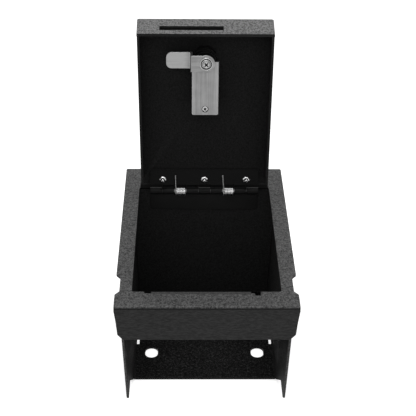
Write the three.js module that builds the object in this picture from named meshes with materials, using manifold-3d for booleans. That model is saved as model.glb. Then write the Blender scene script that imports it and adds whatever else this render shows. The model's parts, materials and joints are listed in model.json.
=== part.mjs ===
// Console safe: a folded sheet-steel box for a vehicle's centre console, with a sprung lid that stands
// open on its hinge stop, a cranked lock cam, and four number wheels on the lid's outer face.
// Millimetres, +Z up. The origin is on the floor plate's underside, in the middle of the box's width.
// The front, with the skirt, faces -Y.
import * as THREE from "three";
import { mergeVertices } from "three/addons/utils/BufferGeometryUtils.js";
import Module from "manifold-3d";

const wasm = await Module();
wasm.setup();

// Shared stock and clearances
const sheet = 2.7; // powder coated 12-gauge sheet
const bendRadius = 3; // outside radius of a folded edge
const lidBend = 1.5; // the same on the lid
const seatGap = 0.3; // between neighbouring pieces
const overrun = 4; // how far a cutting solid runs past the face it cuts
const arcSteps = 6; // segments in a quarter round or a short curve
const bendSteps = 2; // segments across a folded or rounded edge

// Top frame
const frameWidth = 187.6;
const frameDepth = 285.2;
const boxHeight = 152.5; // floor underside to the frame's top face
const frontReach = 150; // origin to the skirt's outer face
const skirtHeight = 40.7;
const skirtTaper = { shoulder: 5.5, waist: 19, knee: 34.4, hem: 38.8 };
const skirtInset = { waist: 1.7, knee: 3, hem: 6.9 };
const sideRail = 17.2; // frame beside the opening
const rearRail = 46.5; // frame behind the opening
const openingFront = 27.1; // skirt face to the opening's front edge
const openingCorner = 2;
const frameCorner = 2; // rear corners
const notchDepth = 4.5; // side notches of the frame
const notchStart = 27.6; // skirt face to the notch
const notchLength = 25.5;
const notchRun = 5.5; // length of a notch's slanted ends

// Catch tab, folded down at the opening's front edge
const tabInset = { left: 19.8, right: 31.5 }; // opening's sides to the tab's ends
const tabSetback = 1.2; // middle of the tab's bend, in front of the opening's edge
const tabSlant = THREE.MathUtils.degToRad(20);
const tabDepth = 12.4;
const reliefWidth = 7; // corner reliefs beside the tab
const reliefSetback = 3; // how far they reach in front of the opening
const reliefRightSetback = 6.5;

// Box under the frame
const wallInset = 5.2; // frame's side to the wall's outer face, at the frame's top face
const wallLean = THREE.MathUtils.degToRad(2.27); // of each side, in towards the floor
const wallFrontHeight = 32; // lower end of the front edge, above the floor's underside
const wallFootReach = 29; // length of that level lower edge
const floorFront = 72; // skirt face to the floor plate's front edge
const mountHole = { width: 14.5, length: 19.7, inset: 32.75, back: 118 }; // inset: from the frame's sides
const floorSlot = { width: 3, inset: 0.9, length: 14, back: 133.2 };

// Hinge
const hingeInset = 13.1; // opening's sides to the hinge's ends
const knuckleSlots = 9;
const leafThickness = 1.7;
const barrelRadius = 4.2;
const axisDrop = 1.3; // barrel axis below the frame's top
const pinRadius = 2.2;
const pinEdge = 0.5; // bevel of the pin's ends
const bodyCurl = THREE.MathUtils.degToRad(290);
const lidCurl = THREE.MathUtils.degToRad(316); // from the tongue, round to a seam behind it
const knuckleGap = 0.3;
const leafCorner = 2;
const panelSetback = 9.5; // barrel axis to the panel's rear edge
const tongueStart = 9.2; // barrel axis to the end of the lid leaf's flat part
const tongueRun = 3; // length of a tongue's step up to the axis
const lidLeafReach = 28; // barrel axis to the leaf's far edge
const bodyLeafReach = 27;
const studInset = 14.8; // hinge's ends to the outer studs
const studBack = 16.1; // barrel axis to the stud line
const nutAcross = 7;
const nutSides = 6;
const nutHeight = 3;
const studRadius = 1.9;
const studHeight = 4.8;

// Torsion springs
const wire = 1.6;
const coilRadius = 3.4; // to the middle of the wire
const coilMargin = 0.45; // beside the coil, in its slot
const coilTurns = 6;
const coilSteps = 8;
const wireSides = 5;
const lidLegLength = 21.9;
const bodyLegLength = 4.9;
const bodyLegSlant = THREE.MathUtils.degToRad(48);

// Lid
const openAngle = THREE.MathUtils.degToRad(99.1); // from closed to the stop
const lidGap = 2; // opening's front edge to the lid's front bend
const lidSideGap = { flange: 0.5, front: 0.8, rear: 4.1 }; // opening's sides to the lid
const flangeSlant = THREE.MathUtils.degToRad(23.9);
const flangeLength = 28.5; // along the slant
const cornerRelief = 0.6; // by which the flanges' corners are rounder than their bends
const sideFlangeEnd = 7.5; // from the panel's rear edge to the end of the side flanges
const camSlot = { left: -51.1, right: 19.9, top: 13.2, bottom: 19.9 };

// Lock
const hubX = 0.7;
const hubBack = 45.7; // opening's front edge to the hub
const lockLength = 60.2; // hub to the plate's rear edge
const lockHalfWidth = 13.6;
const lockNose = { radius: 11.9, depth: 17.7 }; // the nose draws in at this depth
const bossRadius = 8.6;
const plateDepth = 26.3; // panel's outer face to the plate's outer face
const plateThickness = 1.5;
const plateHalfWidth = 15.2;
const plateX = -0.2;
const plateFront = 0.7; // how far the plate runs past the hub, in front
const plateLip = 4;
const plateBend = 1.9; // outside radius of the folded lips
const plateCorner = 2.5;
const plateScrewInset = 6.7;
const plateScrewLength = 9;
const plateSink = 3.8; // radius of the countersink in the plate's face
const plateScrewRim = 0.3; // screw's rim below the plate's face
const spindleRadius = 4.5;
const spindleGap = 0.3;
const panelHoleGap = 1.5; // round the spindle, in the panel
const postWidth = 6.4; // the spindle's square end
const camOuterDepth = 33;
const camThickness = 3;
const camTipDepth = 16.7;
const camWidth = 18.4;
const camHubRadius = 9.7;
const camReach = 44.5;
const camCrankReach = 15; // hub to the crank's inner face
const camCrankThickness = 2.5;
const camTipCorner = 6;
const camBend = 1.2;
const camOuterBend = 2.4; // where the hub's level turns down into the crank
const camClearance = 0.8; // round the crank, in the plate
const washerRadius = 7.3;
const washerThickness = 1;
const camScrewRadius = 4.6;
const camScrewHeight = 2.2;

// Outer housing, dials and knob
const housingHalfWidth = 15;
const housingHeight = 9;
const housingBevel = 1.5;
const housingTail = 5; // past the plate's rear edge
const dialCount = 4;
const dialPitch = 9.6;
const dialWidth = 6.4;
const dialRadius = 8.6;
const dialProud = 1.3; // how far a wheel stands out of its window
const dialFirst = 26; // hub to the first wheel
const dialGap = 0.4;
const dialFlats = 10;
const dialBevel = 0.6;
const axleRadius = 1.5;
const axleSeat = 3; // how far the axle runs into the housing past the end wheels
const knobRadius = 11.5;
const knobSkirt = 4;
const knobHeight = 11;
const knobSocket = 3; // how deep the spindle's end sits in the knob
const knobRound = 0.8;
const gripHalfWidth = 3.4;
const gripInset = 0.6; // grip's ends, in from the knob's rim

// Places worked out from the sizes above
const frameTop = boxHeight;
const frameUnder = frameTop - sheet;
const skirtFace = -frontReach;
const frameRearY = skirtFace + frameDepth;
const openingFrontY = skirtFace + openingFront;
const openingRearY = frameRearY - rearRail;
const openingHalf = frameWidth / 2 - sideRail;
const hingeWidth = 2 * (openingHalf - hingeInset);
const studApart = hingeWidth / 2 - studInset;
const mountHalf = frameWidth / 2 - mountHole.inset;
const tabLeft = tabInset.left - openingHalf;
const tabRight = openingHalf - tabInset.right;
const wallTop = frameWidth / 2 - wallInset;
const wallFrontY = skirtFace + sheet + seatGap;
const boxRearY = openingRearY + sheet;
const floorFrontY = skirtFace + floorFront;
const leanAt = (z) => wallTop - Math.tan(wallLean) * (frameTop - z);
const axisY = openingRearY - seatGap - barrelRadius;
const axisZ = frameTop - axisDrop;
const slotWidth = hingeWidth / knuckleSlots;
const leafSetback = barrelRadius + seatGap + knuckleGap; // clear of the other leaf's knuckles
const lidLeafTop = axisDrop - sheet - seatGap; // from the barrel's axis
const lidLeafUnder = lidLeafTop - leafThickness;
const lidFrontY = openingFrontY + lidGap;
const lidRearY = axisY - panelSetback;
const frontHalfWidth = openingHalf - lidSideGap.flange;
const panFrontHalfWidth = openingHalf - lidSideGap.front;
const panRearHalfWidth = openingHalf - lidSideGap.rear;
const flangeCorner = lidBend + cornerRelief;
const hubY = openingFrontY + hubBack;
const plateInner = plateThickness - plateDepth; // depths below the lid's face are negative heights
const bodyUnder = plateInner + seatGap;
const camHubTop = camThickness - camOuterDepth;
const camTipTop = camThickness - camTipDepth;
const panDepth = flangeLength * Math.cos(flangeSlant);
const plateScrewY = hubY + lockLength - plateScrewInset;
const housingBase = seatGap;
const housingTop = housingBase + housingHeight;
const dialAxisZ = housingTop + dialProud - dialRadius;
const dialCavityRadius = dialRadius + dialGap;
const dialsStart = hubY + dialFirst - dialPitch / 2;
const dialsEnd = dialsStart + dialCount * dialPitch;
const dialPlaces = Array.from({ length: dialCount }, (_, i) => hubY + dialFirst + i * dialPitch);
const axleFront = dialsStart - axleSeat;
const axleRear = dialsEnd + axleSeat;

// Finishes
function finish(color, roughness, metalness) {
  return new THREE.MeshStandardMaterial({ color, roughness, metalness });
}
const coat = () => finish(0x2a2a2c, 0.75, 0.1);
const blackSteel = () => finish(0x1c1c1e, 0.45, 0.6);
const zinc = () => finish(0xb4b5b6, 0.35, 1);
const springSteel = () => finish(0xd8d8d6, 0.25, 1);
const darkCasting = () => finish(0x18181a, 0.5, 0.3);

// Solids and booleans. Triangles that merging has collapsed to a line are dropped.
function solidOf(geometry) {
  const bare = geometry.clone();
  bare.deleteAttribute("normal");
  bare.deleteAttribute("uv");
  const merged = mergeVertices(bare);
  const corners = Array.from(merged.index.array);
  const kept = corners.filter((_, i) => {
    const [a, b, c] = corners.slice(i - (i % 3), i - (i % 3) + 3);
    return a !== b && b !== c && c !== a;
  });
  return new wasm.Manifold(
    new wasm.Mesh({
      numProp: 3,
      vertProperties: Float32Array.from(merged.attributes.position.array),
      triVerts: Uint32Array.from(kept),
    }),
  );
}

function geometryOf(solid) {
  const mesh = solid.getMesh();
  const geometry = new THREE.BufferGeometry();
  geometry.setAttribute("position", new THREE.BufferAttribute(Float32Array.from(mesh.vertProperties), 3));
  geometry.setIndex(new THREE.BufferAttribute(Uint32Array.from(mesh.triVerts), 1));
  const faceted = geometry.toNonIndexed();
  faceted.computeVertexNormals();
  return faceted;
}

const joined = (first, ...rest) => rest.reduce((sum, next) => sum.add(next), first);
const cut = (first, ...rest) => rest.reduce((left, next) => left.subtract(next), first);

function meshOf(name, solid, material) {
  const mesh = new THREE.Mesh(geometryOf(solid), material);
  mesh.name = name;
  return mesh;
}

// Extrusions along each axis, from a shape drawn in the other two
function extruded(shape, depth) {
  return new THREE.ExtrudeGeometry(shape, { depth, bevelEnabled: false, curveSegments: arcSteps });
}

// A shape in X and Y, from one height to a higher one
function upright(shape, low, high) {
  return solidOf(extruded(shape, high - low).translate(0, 0, low));
}

// A shape in Y and Z, from one X to a larger one
function acrossX(shape, left, right) {
  return solidOf(extruded(shape, right - left).applyMatrix4(crossTurn()).translate(left, 0, 0));
}

// Turns a drawing's X and Y into Y and Z, and its thickness into X
function crossTurn() {
  return new THREE.Matrix4().makeBasis(
    new THREE.Vector3(0, 1, 0),
    new THREE.Vector3(0, 0, 1),
    new THREE.Vector3(1, 0, 0),
  );
}

// A shape in X and Z, from one Y to a larger one
function alongY(shape, front, rear) {
  const geometry = extruded(shape, rear - front).rotateX(Math.PI / 2);
  return solidOf(geometry.translate(0, rear, 0));
}

function polygon(points) {
  return new THREE.Shape(points.map(([a, b]) => new THREE.Vector2(a, b)));
}

// A closed outline whose corners are rounded, each by its own radius, which its two sides limit
function rounded(corners) {
  const shape = new THREE.Shape();
  const count = corners.length;
  corners.forEach(([x, y, radius = 0], i) => {
    const here = new THREE.Vector2(x, y);
    const back = new THREE.Vector2(...corners[(i + count - 1) % count].slice(0, 2)).sub(here);
    const ahead = new THREE.Vector2(...corners[(i + 1) % count].slice(0, 2)).sub(here);
    const half = Math.acos(back.dot(ahead) / (back.length() * ahead.length())) / 2;
    const reach = Math.min(radius / Math.tan(half), back.length() / 2, ahead.length() / 2);
    if (radius <= 0) {
      if (i === 0) shape.moveTo(x, y);
      else shape.lineTo(x, y);
      return;
    }
    const start = here.clone().add(back.clone().setLength(reach));
    const end = here.clone().add(ahead.clone().setLength(reach));
    const clockwise = back.cross(ahead) > 0;
    const middle = back.normalize().add(ahead.normalize()).setLength(reach / Math.cos(half)).add(here);
    const from = Math.atan2(start.y - middle.y, start.x - middle.x);
    const to = Math.atan2(end.y - middle.y, end.x - middle.x);
    if (i === 0) shape.moveTo(start.x, start.y);
    else shape.lineTo(start.x, start.y);
    shape.absarc(middle.x, middle.y, reach * Math.tan(half), from, to, clockwise);
  });
  shape.closePath();
  return shape;
}

function rectangle(left, front, right, rear, radius = 0) {
  return rounded([
    [left, front, radius],
    [right, front, radius],
    [right, rear, radius],
    [left, rear, radius],
  ]);
}

function circle(x, y, radius) {
  const shape = new THREE.Shape();
  shape.absarc(x, y, radius, 0, Math.PI * 2, false);
  return shape;
}

// An outline with straight sides and a full round at its front end
function roundNosed(x, noseY, rearY, halfWidth, rearCorner) {
  const shape = new THREE.Shape();
  shape.absarc(x, noseY, halfWidth, Math.PI, Math.PI * 2, false);
  shape.lineTo(x + halfWidth, rearY - rearCorner);
  shape.quadraticCurveTo(x + halfWidth, rearY, x + halfWidth - rearCorner, rearY);
  shape.lineTo(x - halfWidth + rearCorner, rearY);
  shape.quadraticCurveTo(x - halfWidth, rearY, x - halfWidth, rearY - rearCorner);
  shape.closePath();
  return shape;
}

// A cylinder that stands along Z
function rod(x, y, radius, low, high, sides) {
  const geometry = new THREE.CylinderGeometry(radius, radius, high - low, sides);
  return solidOf(geometry.rotateX(Math.PI / 2).translate(x, y, (low + high) / 2));
}

// Top frame: one sheet folded down into the skirt in front and into the catch tab at the opening
function frameFold() {
  const shape = new THREE.Shape();
  const inner = bendRadius - sheet;
  shape.moveTo(frameRearY, frameTop);
  shape.lineTo(skirtFace + bendRadius, frameTop);
  shape.absarc(skirtFace + bendRadius, frameTop - bendRadius, bendRadius, Math.PI / 2, Math.PI, false);
  shape.lineTo(skirtFace, frameTop - skirtHeight);
  shape.lineTo(skirtFace + sheet, frameTop - skirtHeight);
  shape.lineTo(skirtFace + sheet, frameTop - bendRadius);
  shape.absarc(skirtFace + bendRadius, frameTop - bendRadius, inner, Math.PI, Math.PI / 2, true);
  shape.lineTo(frameRearY, frameUnder);
  shape.closePath();
  return acrossX(shape, -frameWidth / 2, frameWidth / 2);
}

function skirtOutline() {
  const half = frameWidth / 2;
  const rightSide = [
    [half, frameTop],
    [half, frameTop - skirtTaper.shoulder],
    [half - skirtInset.waist, frameTop - skirtTaper.waist],
    [half - skirtInset.knee, frameTop - skirtTaper.knee],
    [half - skirtInset.hem, frameTop - skirtTaper.hem],
    [half - skirtInset.hem - sheet, frameTop - skirtHeight],
  ];
  const leftSide = rightSide.map(([x, z]) => [-x, z]).reverse();
  return polygon([...leftSide, ...rightSide].reverse());
}

function plateOutline() {
  const half = frameWidth / 2;
  const waist = half - notchDepth;
  const notchFront = skirtFace + notchStart;
  const notchRear = notchFront + notchLength;
  const rightSide = [
    [half, skirtFace],
    [half, notchFront - notchRun],
    [waist, notchFront],
    [waist, notchRear],
    [half, notchRear + notchRun],
    [half, frameRearY, frameCorner],
  ];
  const leftSide = rightSide.map(([x, y, radius = 0]) => [-x, y, radius]).reverse();
  return rounded([...rightSide, ...leftSide]);
}

function tabFold() {
  const shape = new THREE.Shape();
  const bendY = openingFrontY - tabSetback;
  const bendZ = frameTop - bendRadius;
  const drop = tabDepth - bendRadius * (1 - Math.sin(tabSlant));
  const down = new THREE.Vector2(Math.sin(tabSlant), -Math.cos(tabSlant));
  const out = new THREE.Vector2(Math.cos(tabSlant), Math.sin(tabSlant));
  const length = drop / Math.cos(tabSlant);
  const centre = new THREE.Vector2(bendY, bendZ);
  const outerEnd = centre.clone().addScaledVector(out, bendRadius).addScaledVector(down, length);
  const innerEnd = outerEnd.clone().addScaledVector(out, -sheet);
  const innerRadius = bendRadius - sheet;
  shape.moveTo(bendY - sheet, frameTop);
  shape.lineTo(bendY - sheet, frameUnder);
  shape.lineTo(bendY, frameUnder);
  shape.absarc(bendY, bendZ, innerRadius, Math.PI / 2, tabSlant, true);
  shape.lineTo(innerEnd.x, innerEnd.y);
  shape.lineTo(outerEnd.x, outerEnd.y);
  shape.absarc(bendY, bendZ, bendRadius, tabSlant, Math.PI / 2, false);
  shape.closePath();
  return acrossX(shape, tabLeft, tabRight);
}

function topFrame() {
  const low = frameTop - skirtHeight - overrun;
  const high = frameTop + overrun;
  const half = openingHalf;
  const reliefFront = openingFrontY - reliefSetback;
  const opening = rectangle(-half, openingFrontY, half, openingRearY, openingCorner);
  const tabClear = rectangle(tabLeft, reliefFront, tabRight, openingFrontY + overrun);
  const leftRelief = rectangle(tabLeft - reliefWidth, reliefFront, tabLeft, openingFrontY + overrun);
  const rightRelief = rectangle(
    tabRight + reliefWidth - reliefSetback,
    openingFrontY - reliefRightSetback,
    tabRight + reliefWidth + reliefSetback,
    openingFrontY + overrun,
  );
  const rightStep = rectangle(tabRight, reliefFront, tabRight + reliefWidth, openingFrontY + overrun);
  const cutters = [opening, tabClear, leftRelief, rightRelief, rightStep];
  const plate = cut(
    frameFold()
      .intersect(alongY(skirtOutline(), skirtFace - overrun, frameRearY + overrun))
      .intersect(upright(plateOutline(), low, high)),
    ...cutters.map((shape) => upright(shape, frameUnder - overrun, high)),
  );
  return meshOf("top_frame", plate.add(tabFold()), coat());
}

// A side wall: its outline in Y and Z, leaned in towards the floor by a shear that keeps its edges level
function wallOutline() {
  const foot = wallFrontY + wallFootReach;
  const top = frameUnder - seatGap;
  return polygon([
    [wallFrontY, top],
    [wallFrontY, wallFrontHeight],
    [foot, wallFrontHeight],
    [floorFrontY, 0],
    [boxRearY, 0],
    [boxRearY, top],
  ]);
}

function sideWall(name, side) {
  const geometry = extruded(wallOutline(), sheet);
  geometry.applyMatrix4(crossTurn());
  geometry.translate(side > 0 ? wallTop - sheet : -wallTop, 0, -frameTop);
  const slope = side * Math.tan(wallLean);
  const lean = new THREE.Matrix4().set(1, 0, slope, 0, 0, 1, 0, 0, 0, 0, 1, 0, 0, 0, 0, 1);
  geometry.applyMatrix4(lean).translate(0, 0, frameTop);
  return meshOf(name, solidOf(geometry), coat());
}

function backWall() {
  const clear = sheet + seatGap;
  const low = sheet + seatGap;
  const high = frameUnder - seatGap;
  const outline = polygon([
    [clear - leanAt(low), low],
    [leanAt(low) - clear, low],
    [leanAt(high) - clear, high],
    [clear - leanAt(high), high],
  ]);
  return meshOf("back_wall", alongY(outline, openingRearY, boxRearY), coat());
}

function obround(x, y, width, length) {
  const shape = new THREE.Shape();
  const run = (length - width) / 2;
  shape.absarc(x, y + run, width / 2, 0, Math.PI, false);
  shape.absarc(x, y - run, width / 2, Math.PI, Math.PI * 2, false);
  shape.closePath();
  return shape;
}

function floorPlate() {
  const half = leanAt(0) - sheet - seatGap;
  const holeY = skirtFace + mountHole.back;
  const slotY = skirtFace + floorSlot.back;
  const blank = upright(rectangle(-half, floorFrontY, half, boxRearY), 0, sheet);
  const cutters = [-1, 1].flatMap((side) => {
    const outer = side * (half - floorSlot.inset);
    const inner = outer - side * floorSlot.width;
    return [
      obround(side * mountHalf, holeY, mountHole.width, mountHole.length),
      rectangle(Math.min(inner, outer), slotY, Math.max(inner, outer), slotY + floorSlot.length),
    ];
  });
  const plate = cut(blank, ...cutters.map((shape) => upright(shape, -overrun, sheet + overrun)));
  return meshOf("floor_plate", plate, coat());
}

// Hinge leaves, drawn round the pin's axis with the leaf running towards -Y, below the axis
function rolledSection(reach) {
  const shape = new THREE.Shape();
  const bore = barrelRadius - leafThickness;
  const start = -Math.PI / 2;
  const end = start + bodyCurl;
  shape.moveTo(-reach, -barrelRadius);
  shape.lineTo(0, -barrelRadius);
  shape.absarc(0, 0, barrelRadius, start, end, false);
  shape.absarc(0, 0, bore, end, start, true);
  shape.lineTo(-reach, -bore);
  shape.closePath();
  return shape;
}

// A tongue that steps up from the leaf to the axis and rolls round the pin, with its seam on top
function tongueSection() {
  const shape = new THREE.Shape();
  const bore = barrelRadius - leafThickness;
  const half = leafThickness / 2;
  const foot = tongueStart + leafThickness;
  const lag = leafThickness * Math.tan(Math.atan2(half - lidLeafTop, tongueRun) / 2);
  const start = Math.PI + Math.asin(half / barrelRadius);
  const end = start + lidCurl;
  const seam = Math.PI - Math.asin(half / bore);
  shape.moveTo(-foot, lidLeafUnder);
  shape.lineTo(lag - tongueStart, lidLeafUnder);
  shape.lineTo(lag + tongueRun - tongueStart, -half);
  shape.absarc(0, 0, barrelRadius, start, end, false);
  shape.absarc(0, 0, bore, end, seam, true);
  shape.lineTo(tongueRun - tongueStart, half);
  shape.lineTo(-tongueStart, lidLeafTop);
  shape.lineTo(-foot, lidLeafTop);
  shape.closePath();
  return shape;
}

function leafPlate(reach, setback, under) {
  const half = hingeWidth / 2;
  const outline = rounded([
    [-half, -reach, leafCorner],
    [half, -reach, leafCorner],
    [half, -setback],
    [-half, -setback],
  ]);
  return upright(outline, under, under + leafThickness);
}

// The pieces of barrel in some of the hinge's slots
function knuckles(slots, section) {
  const half = hingeWidth / 2;
  const trim = knuckleGap / 2;
  return slots.map((slot) => {
    const left = slot * slotWidth - half;
    const right = left + slotWidth;
    return acrossX(section, slot > 0 ? left + trim : left, slot < knuckleSlots - 1 ? right - trim : right);
  });
}

const bodySlots = [0, 4, 8];
const lidSlots = [1, 3, 5, 7];
const springSlots = [2, 6];

// The body leaf stands against the back wall: its own drawing, turned a quarter turn about the pin
function hingeLeafBody() {
  const plate = leafPlate(bodyLeafReach, leafSetback, -barrelRadius);
  const barrels = knuckles(bodySlots, rolledSection(leafSetback + leafThickness));
  const mesh = meshOf("hinge_leaf_body", joined(plate, ...barrels), blackSteel());
  mesh.rotation.x = Math.PI / 2;
  mesh.position.set(0, axisY, axisZ);
  return mesh;
}

function hingePin() {
  const end = hingeWidth / 2;
  const profile = [
    [0, -end],
    [pinRadius - pinEdge, -end],
    [pinRadius, pinEdge - end],
    [pinRadius, end - pinEdge],
    [pinRadius - pinEdge, end],
    [0, end],
  ];
  const points = profile.map(([radius, along]) => new THREE.Vector2(radius, along));
  const geometry = new THREE.LatheGeometry(points, arcSteps * 3).rotateZ(-Math.PI / 2);
  const mesh = meshOf("hinge_pin", solidOf(geometry), zinc());
  mesh.position.set(0, axisY, axisZ);
  return mesh;
}

// A torsion spring: a leg along the lid's leaf, a quarter turn that draws in to the coil, the coil round
// the pin, and a leg that bears on the body's leaf. Angles are in the Y and Z plane, with the lid open.
function springPath() {
  const points = [];
  const legStep = seatGap + wire / 2 - lidLeafUnder;
  const lidAngle = Math.PI * 1.5 - openAngle;
  const endAngle = Math.PI + bodyLegSlant;
  const quarter = Math.PI / 2;
  const turn = Math.PI * 2;
  const sweep = coilTurns * turn + endAngle - lidAngle;
  const steps = Math.round((sweep / turn) * coilSteps);
  const left = wire / 2 + coilMargin;
  const run = slotWidth - left * 2;
  const place = (x, y, z) => points.push(new THREE.Vector3(x, y, z));
  const leg = new THREE.Vector2(Math.sin(lidAngle), -Math.cos(lidAngle));
  const root = new THREE.Vector2(Math.cos(lidAngle), Math.sin(lidAngle)).multiplyScalar(legStep);
  for (const share of [1, 0.5]) {
    place(left, root.x + leg.x * lidLegLength * share, root.y + leg.y * lidLegLength * share);
  }
  for (let i = 0; i <= steps; i += 1) {
    const share = i / steps;
    const turned = sweep * share;
    const inward = Math.min(turned / quarter, 1);
    const radius = legStep + (coilRadius - legStep) * inward;
    const angle = lidAngle + turned;
    place(left + run * share, radius * Math.cos(angle), radius * Math.sin(angle));
  }
  const foot = points[points.length - 1];
  for (const share of [0.5, 1]) {
    const along = bodyLegLength * share;
    const back = Math.sin(bodyLegSlant) * along;
    place(foot.x, foot.y + back, foot.z - Math.cos(bodyLegSlant) * along);
  }
  return points;
}

// A tube with one ring of points at each point of its path, closed at both ends
function tubeOf(points, radius, sides) {
  const positions = [];
  const index = [];
  const tangent = (i) => {
    const before = points[Math.max(i - 1, 0)];
    const after = points[Math.min(i + 1, points.length - 1)];
    return after.clone().sub(before).normalize();
  };
  const axis = new THREE.Vector3(1, 0, 0);
  points.forEach((point, i) => {
    const ahead = tangent(i);
    const side = axis.clone().addScaledVector(ahead, -axis.dot(ahead)).normalize();
    const up = new THREE.Vector3().crossVectors(ahead, side);
    for (let k = 0; k < sides; k += 1) {
      const angle = (k / sides) * Math.PI * 2;
      const ring = point.clone();
      ring.addScaledVector(side, radius * Math.cos(angle));
      ring.addScaledVector(up, radius * Math.sin(angle));
      positions.push(ring.x, ring.y, ring.z);
    }
  });
  for (let i = 0; i < points.length - 1; i += 1) {
    for (let k = 0; k < sides; k += 1) {
      const a = i * sides + k;
      const b = i * sides + ((k + 1) % sides);
      index.push(a, b, b + sides, a, b + sides, a + sides);
    }
  }
  const last = (points.length - 1) * sides;
  for (let k = 1; k < sides - 1; k += 1) {
    index.push(0, k + 1, k, last, last + k, last + k + 1);
  }
  const geometry = new THREE.BufferGeometry();
  geometry.setAttribute("position", new THREE.BufferAttribute(new Float32Array(positions), 3));
  geometry.setIndex(index);
  return geometry;
}

// The least gap between stretches of the wire that aren't neighbours along it
function leastGap(points) {
  let least = Infinity;
  const apart = coilSteps / 2;
  points.forEach((a, i) => {
    for (let j = i + apart; j < points.length; j += 1) {
      least = Math.min(least, a.distanceTo(points[j]));
    }
  });
  return least - wire;
}

function springs() {
  const path = springPath();
  console.log("spring: least gap to itself " + leastGap(path).toFixed(2));
  return springSlots.map((slot, i) => {
    const name = ["torsion_spring_left", "torsion_spring_right"][i];
    const mesh = new THREE.Mesh(tubeOf(path, wire / 2, wireSides), springSteel());
    mesh.name = name;
    mesh.position.set(slot * slotWidth - hingeWidth / 2, axisY, axisZ);
    return mesh;
  });
}

// A turned solid about Z, from the radii and heights of its profile
function turnedSolid(profile, sides) {
  const points = profile.map(([radius, along]) => new THREE.Vector2(radius, along));
  return solidOf(new THREE.LatheGeometry(points, sides).rotateX(Math.PI / 2));
}

// Lid pan: the panel with a slanted front flange and two side flanges, drawn closed, with the panel's
// outer face at height zero. Its outline from above follows the front flange's slant as it goes down.
function panOutline(inset, rear) {
  const front = lidFrontY + inset / Math.cos(flangeSlant);
  const corner = flangeCorner - inset;
  return rounded([
    [panFrontHalfWidth - inset, front, corner],
    [panRearHalfWidth - inset, rear],
    [inset - panRearHalfWidth, rear],
    [inset - panFrontHalfWidth, front, corner],
  ]);
}

// The front flange is a little wider than the pan behind it
function flangeOutline() {
  const back = lidFrontY + sheet / Math.cos(flangeSlant);
  return rounded([
    [frontHalfWidth, lidFrontY, flangeCorner],
    [frontHalfWidth, back],
    [-frontHalfWidth, back],
    [-frontHalfWidth, lidFrontY, flangeCorner],
  ]);
}

// A prism that follows the front flange's slant, with its upper edges rounded where a radius is given
function slantedPrism(shape, low, high, radius) {
  const geometry = new THREE.ExtrudeGeometry(shape, {
    depth: high - low - radius * 2,
    bevelEnabled: radius > 0,
    bevelThickness: radius,
    bevelSize: radius,
    bevelOffset: -radius,
    bevelSegments: bendSteps,
    curveSegments: arcSteps,
  });
  const slope = Math.tan(flangeSlant);
  const slant = new THREE.Matrix4().set(1, 0, 0, 0, 0, 1, -slope, 0, 0, 0, 1, 0, 0, 0, 0, 1);
  return solidOf(geometry.translate(0, 0, low + radius).applyMatrix4(slant));
}

function lidPan() {
  const below = -panDepth - overrun;
  const behind = lidRearY + overrun + panDepth * Math.tan(flangeSlant);
  const wide = frontHalfWidth + overrun;
  const flangeEnd = lidRearY - sideFlangeEnd;
  const shell = slantedPrism(panOutline(0, behind), below - lidBend, 0, lidBend);
  const outer = shell.add(slantedPrism(flangeOutline(), below, -lidBend, 0));
  const inner = slantedPrism(panOutline(sheet, behind + overrun), below * 2, -sheet, 0);
  const underCut = acrossX(rectangle(0, below * 2, behind * 2, -panDepth), -wide, wide);
  const frontUnderCut = acrossX(rectangle(lidFrontY - overrun, below * 2, 0, -panDepth), -wide, wide);
  const endCut = acrossX(rectangle(flangeEnd, below, behind * 2, -sheet), -wide, wide);
  const rearCut = acrossX(rectangle(lidRearY, below, behind * 2, overrun), -wide, wide);
  const slotHeight = (camSlot.bottom - camSlot.top) / Math.cos(flangeSlant);
  const slotMiddle = (camSlot.top + camSlot.bottom) / 2;
  const slot = new THREE.BoxGeometry(camSlot.right - camSlot.left, overrun * 2, slotHeight);
  slot.rotateX(flangeSlant);
  slot.translate(
    (camSlot.left + camSlot.right) / 2,
    lidFrontY + slotMiddle * Math.tan(flangeSlant),
    -slotMiddle,
  );
  const spindleHole = upright(circle(hubX, hubY, spindleRadius + panelHoleGap), -overrun, overrun);
  const pan = cut(
    outer,
    inner,
    underCut,
    frontUnderCut,
    endCut,
    rearCut,
    solidOf(slot),
    spindleHole,
    upright(dialOpening(), -overrun, overrun),
  );
  return meshOf("lid_pan", pan, coat());
}

// The cut-out in the panel that the number wheels dip through
function dialOpening() {
  const half = dialCavityRadius + dialGap;
  return rectangle(plateX - half, dialsStart, plateX + half, dialsEnd, dialGap);
}

// Lid leaf, against the panel's inner face, and the nuts on the panel's weld studs
function hingeLeafLid() {
  const plate = leafPlate(lidLeafReach, tongueStart, lidLeafUnder);
  const holes = [-studApart, 0, studApart].map((x) =>
    upright(circle(x, -studBack, studRadius + seatGap), lidLeafUnder - overrun, overrun),
  );
  const leaf = joined(cut(plate, ...holes), ...knuckles(lidSlots, tongueSection()));
  const mesh = meshOf("hinge_leaf_lid", leaf, blackSteel());
  mesh.position.set(0, axisY, -axisDrop);
  return mesh;
}

function leafNuts() {
  const seat = lidLeafUnder - axisDrop - seatGap;
  const corner = nutAcross / (2 * Math.cos(Math.PI / nutSides));
  return [-1, 0, 1].map((side, i) => {
    const hex = new THREE.CylinderGeometry(corner, corner, nutHeight, nutSides);
    const dome = new THREE.SphereGeometry(studRadius, arcSteps * 2, arcSteps);
    const shank = rod(0, 0, studRadius, -studHeight, leafThickness, arcSteps * 2);
    const solid = joined(
      solidOf(hex.rotateX(Math.PI / 2).translate(0, 0, -nutHeight / 2)),
      solidOf(dome.translate(0, 0, -studHeight)),
      shank,
    );
    const mesh = meshOf(["left", "middle", "right"][i] + "_leaf_nut", solid, zinc());
    mesh.position.set(side * studApart, axisY - studBack, seat);
    return mesh;
  });
}

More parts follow.
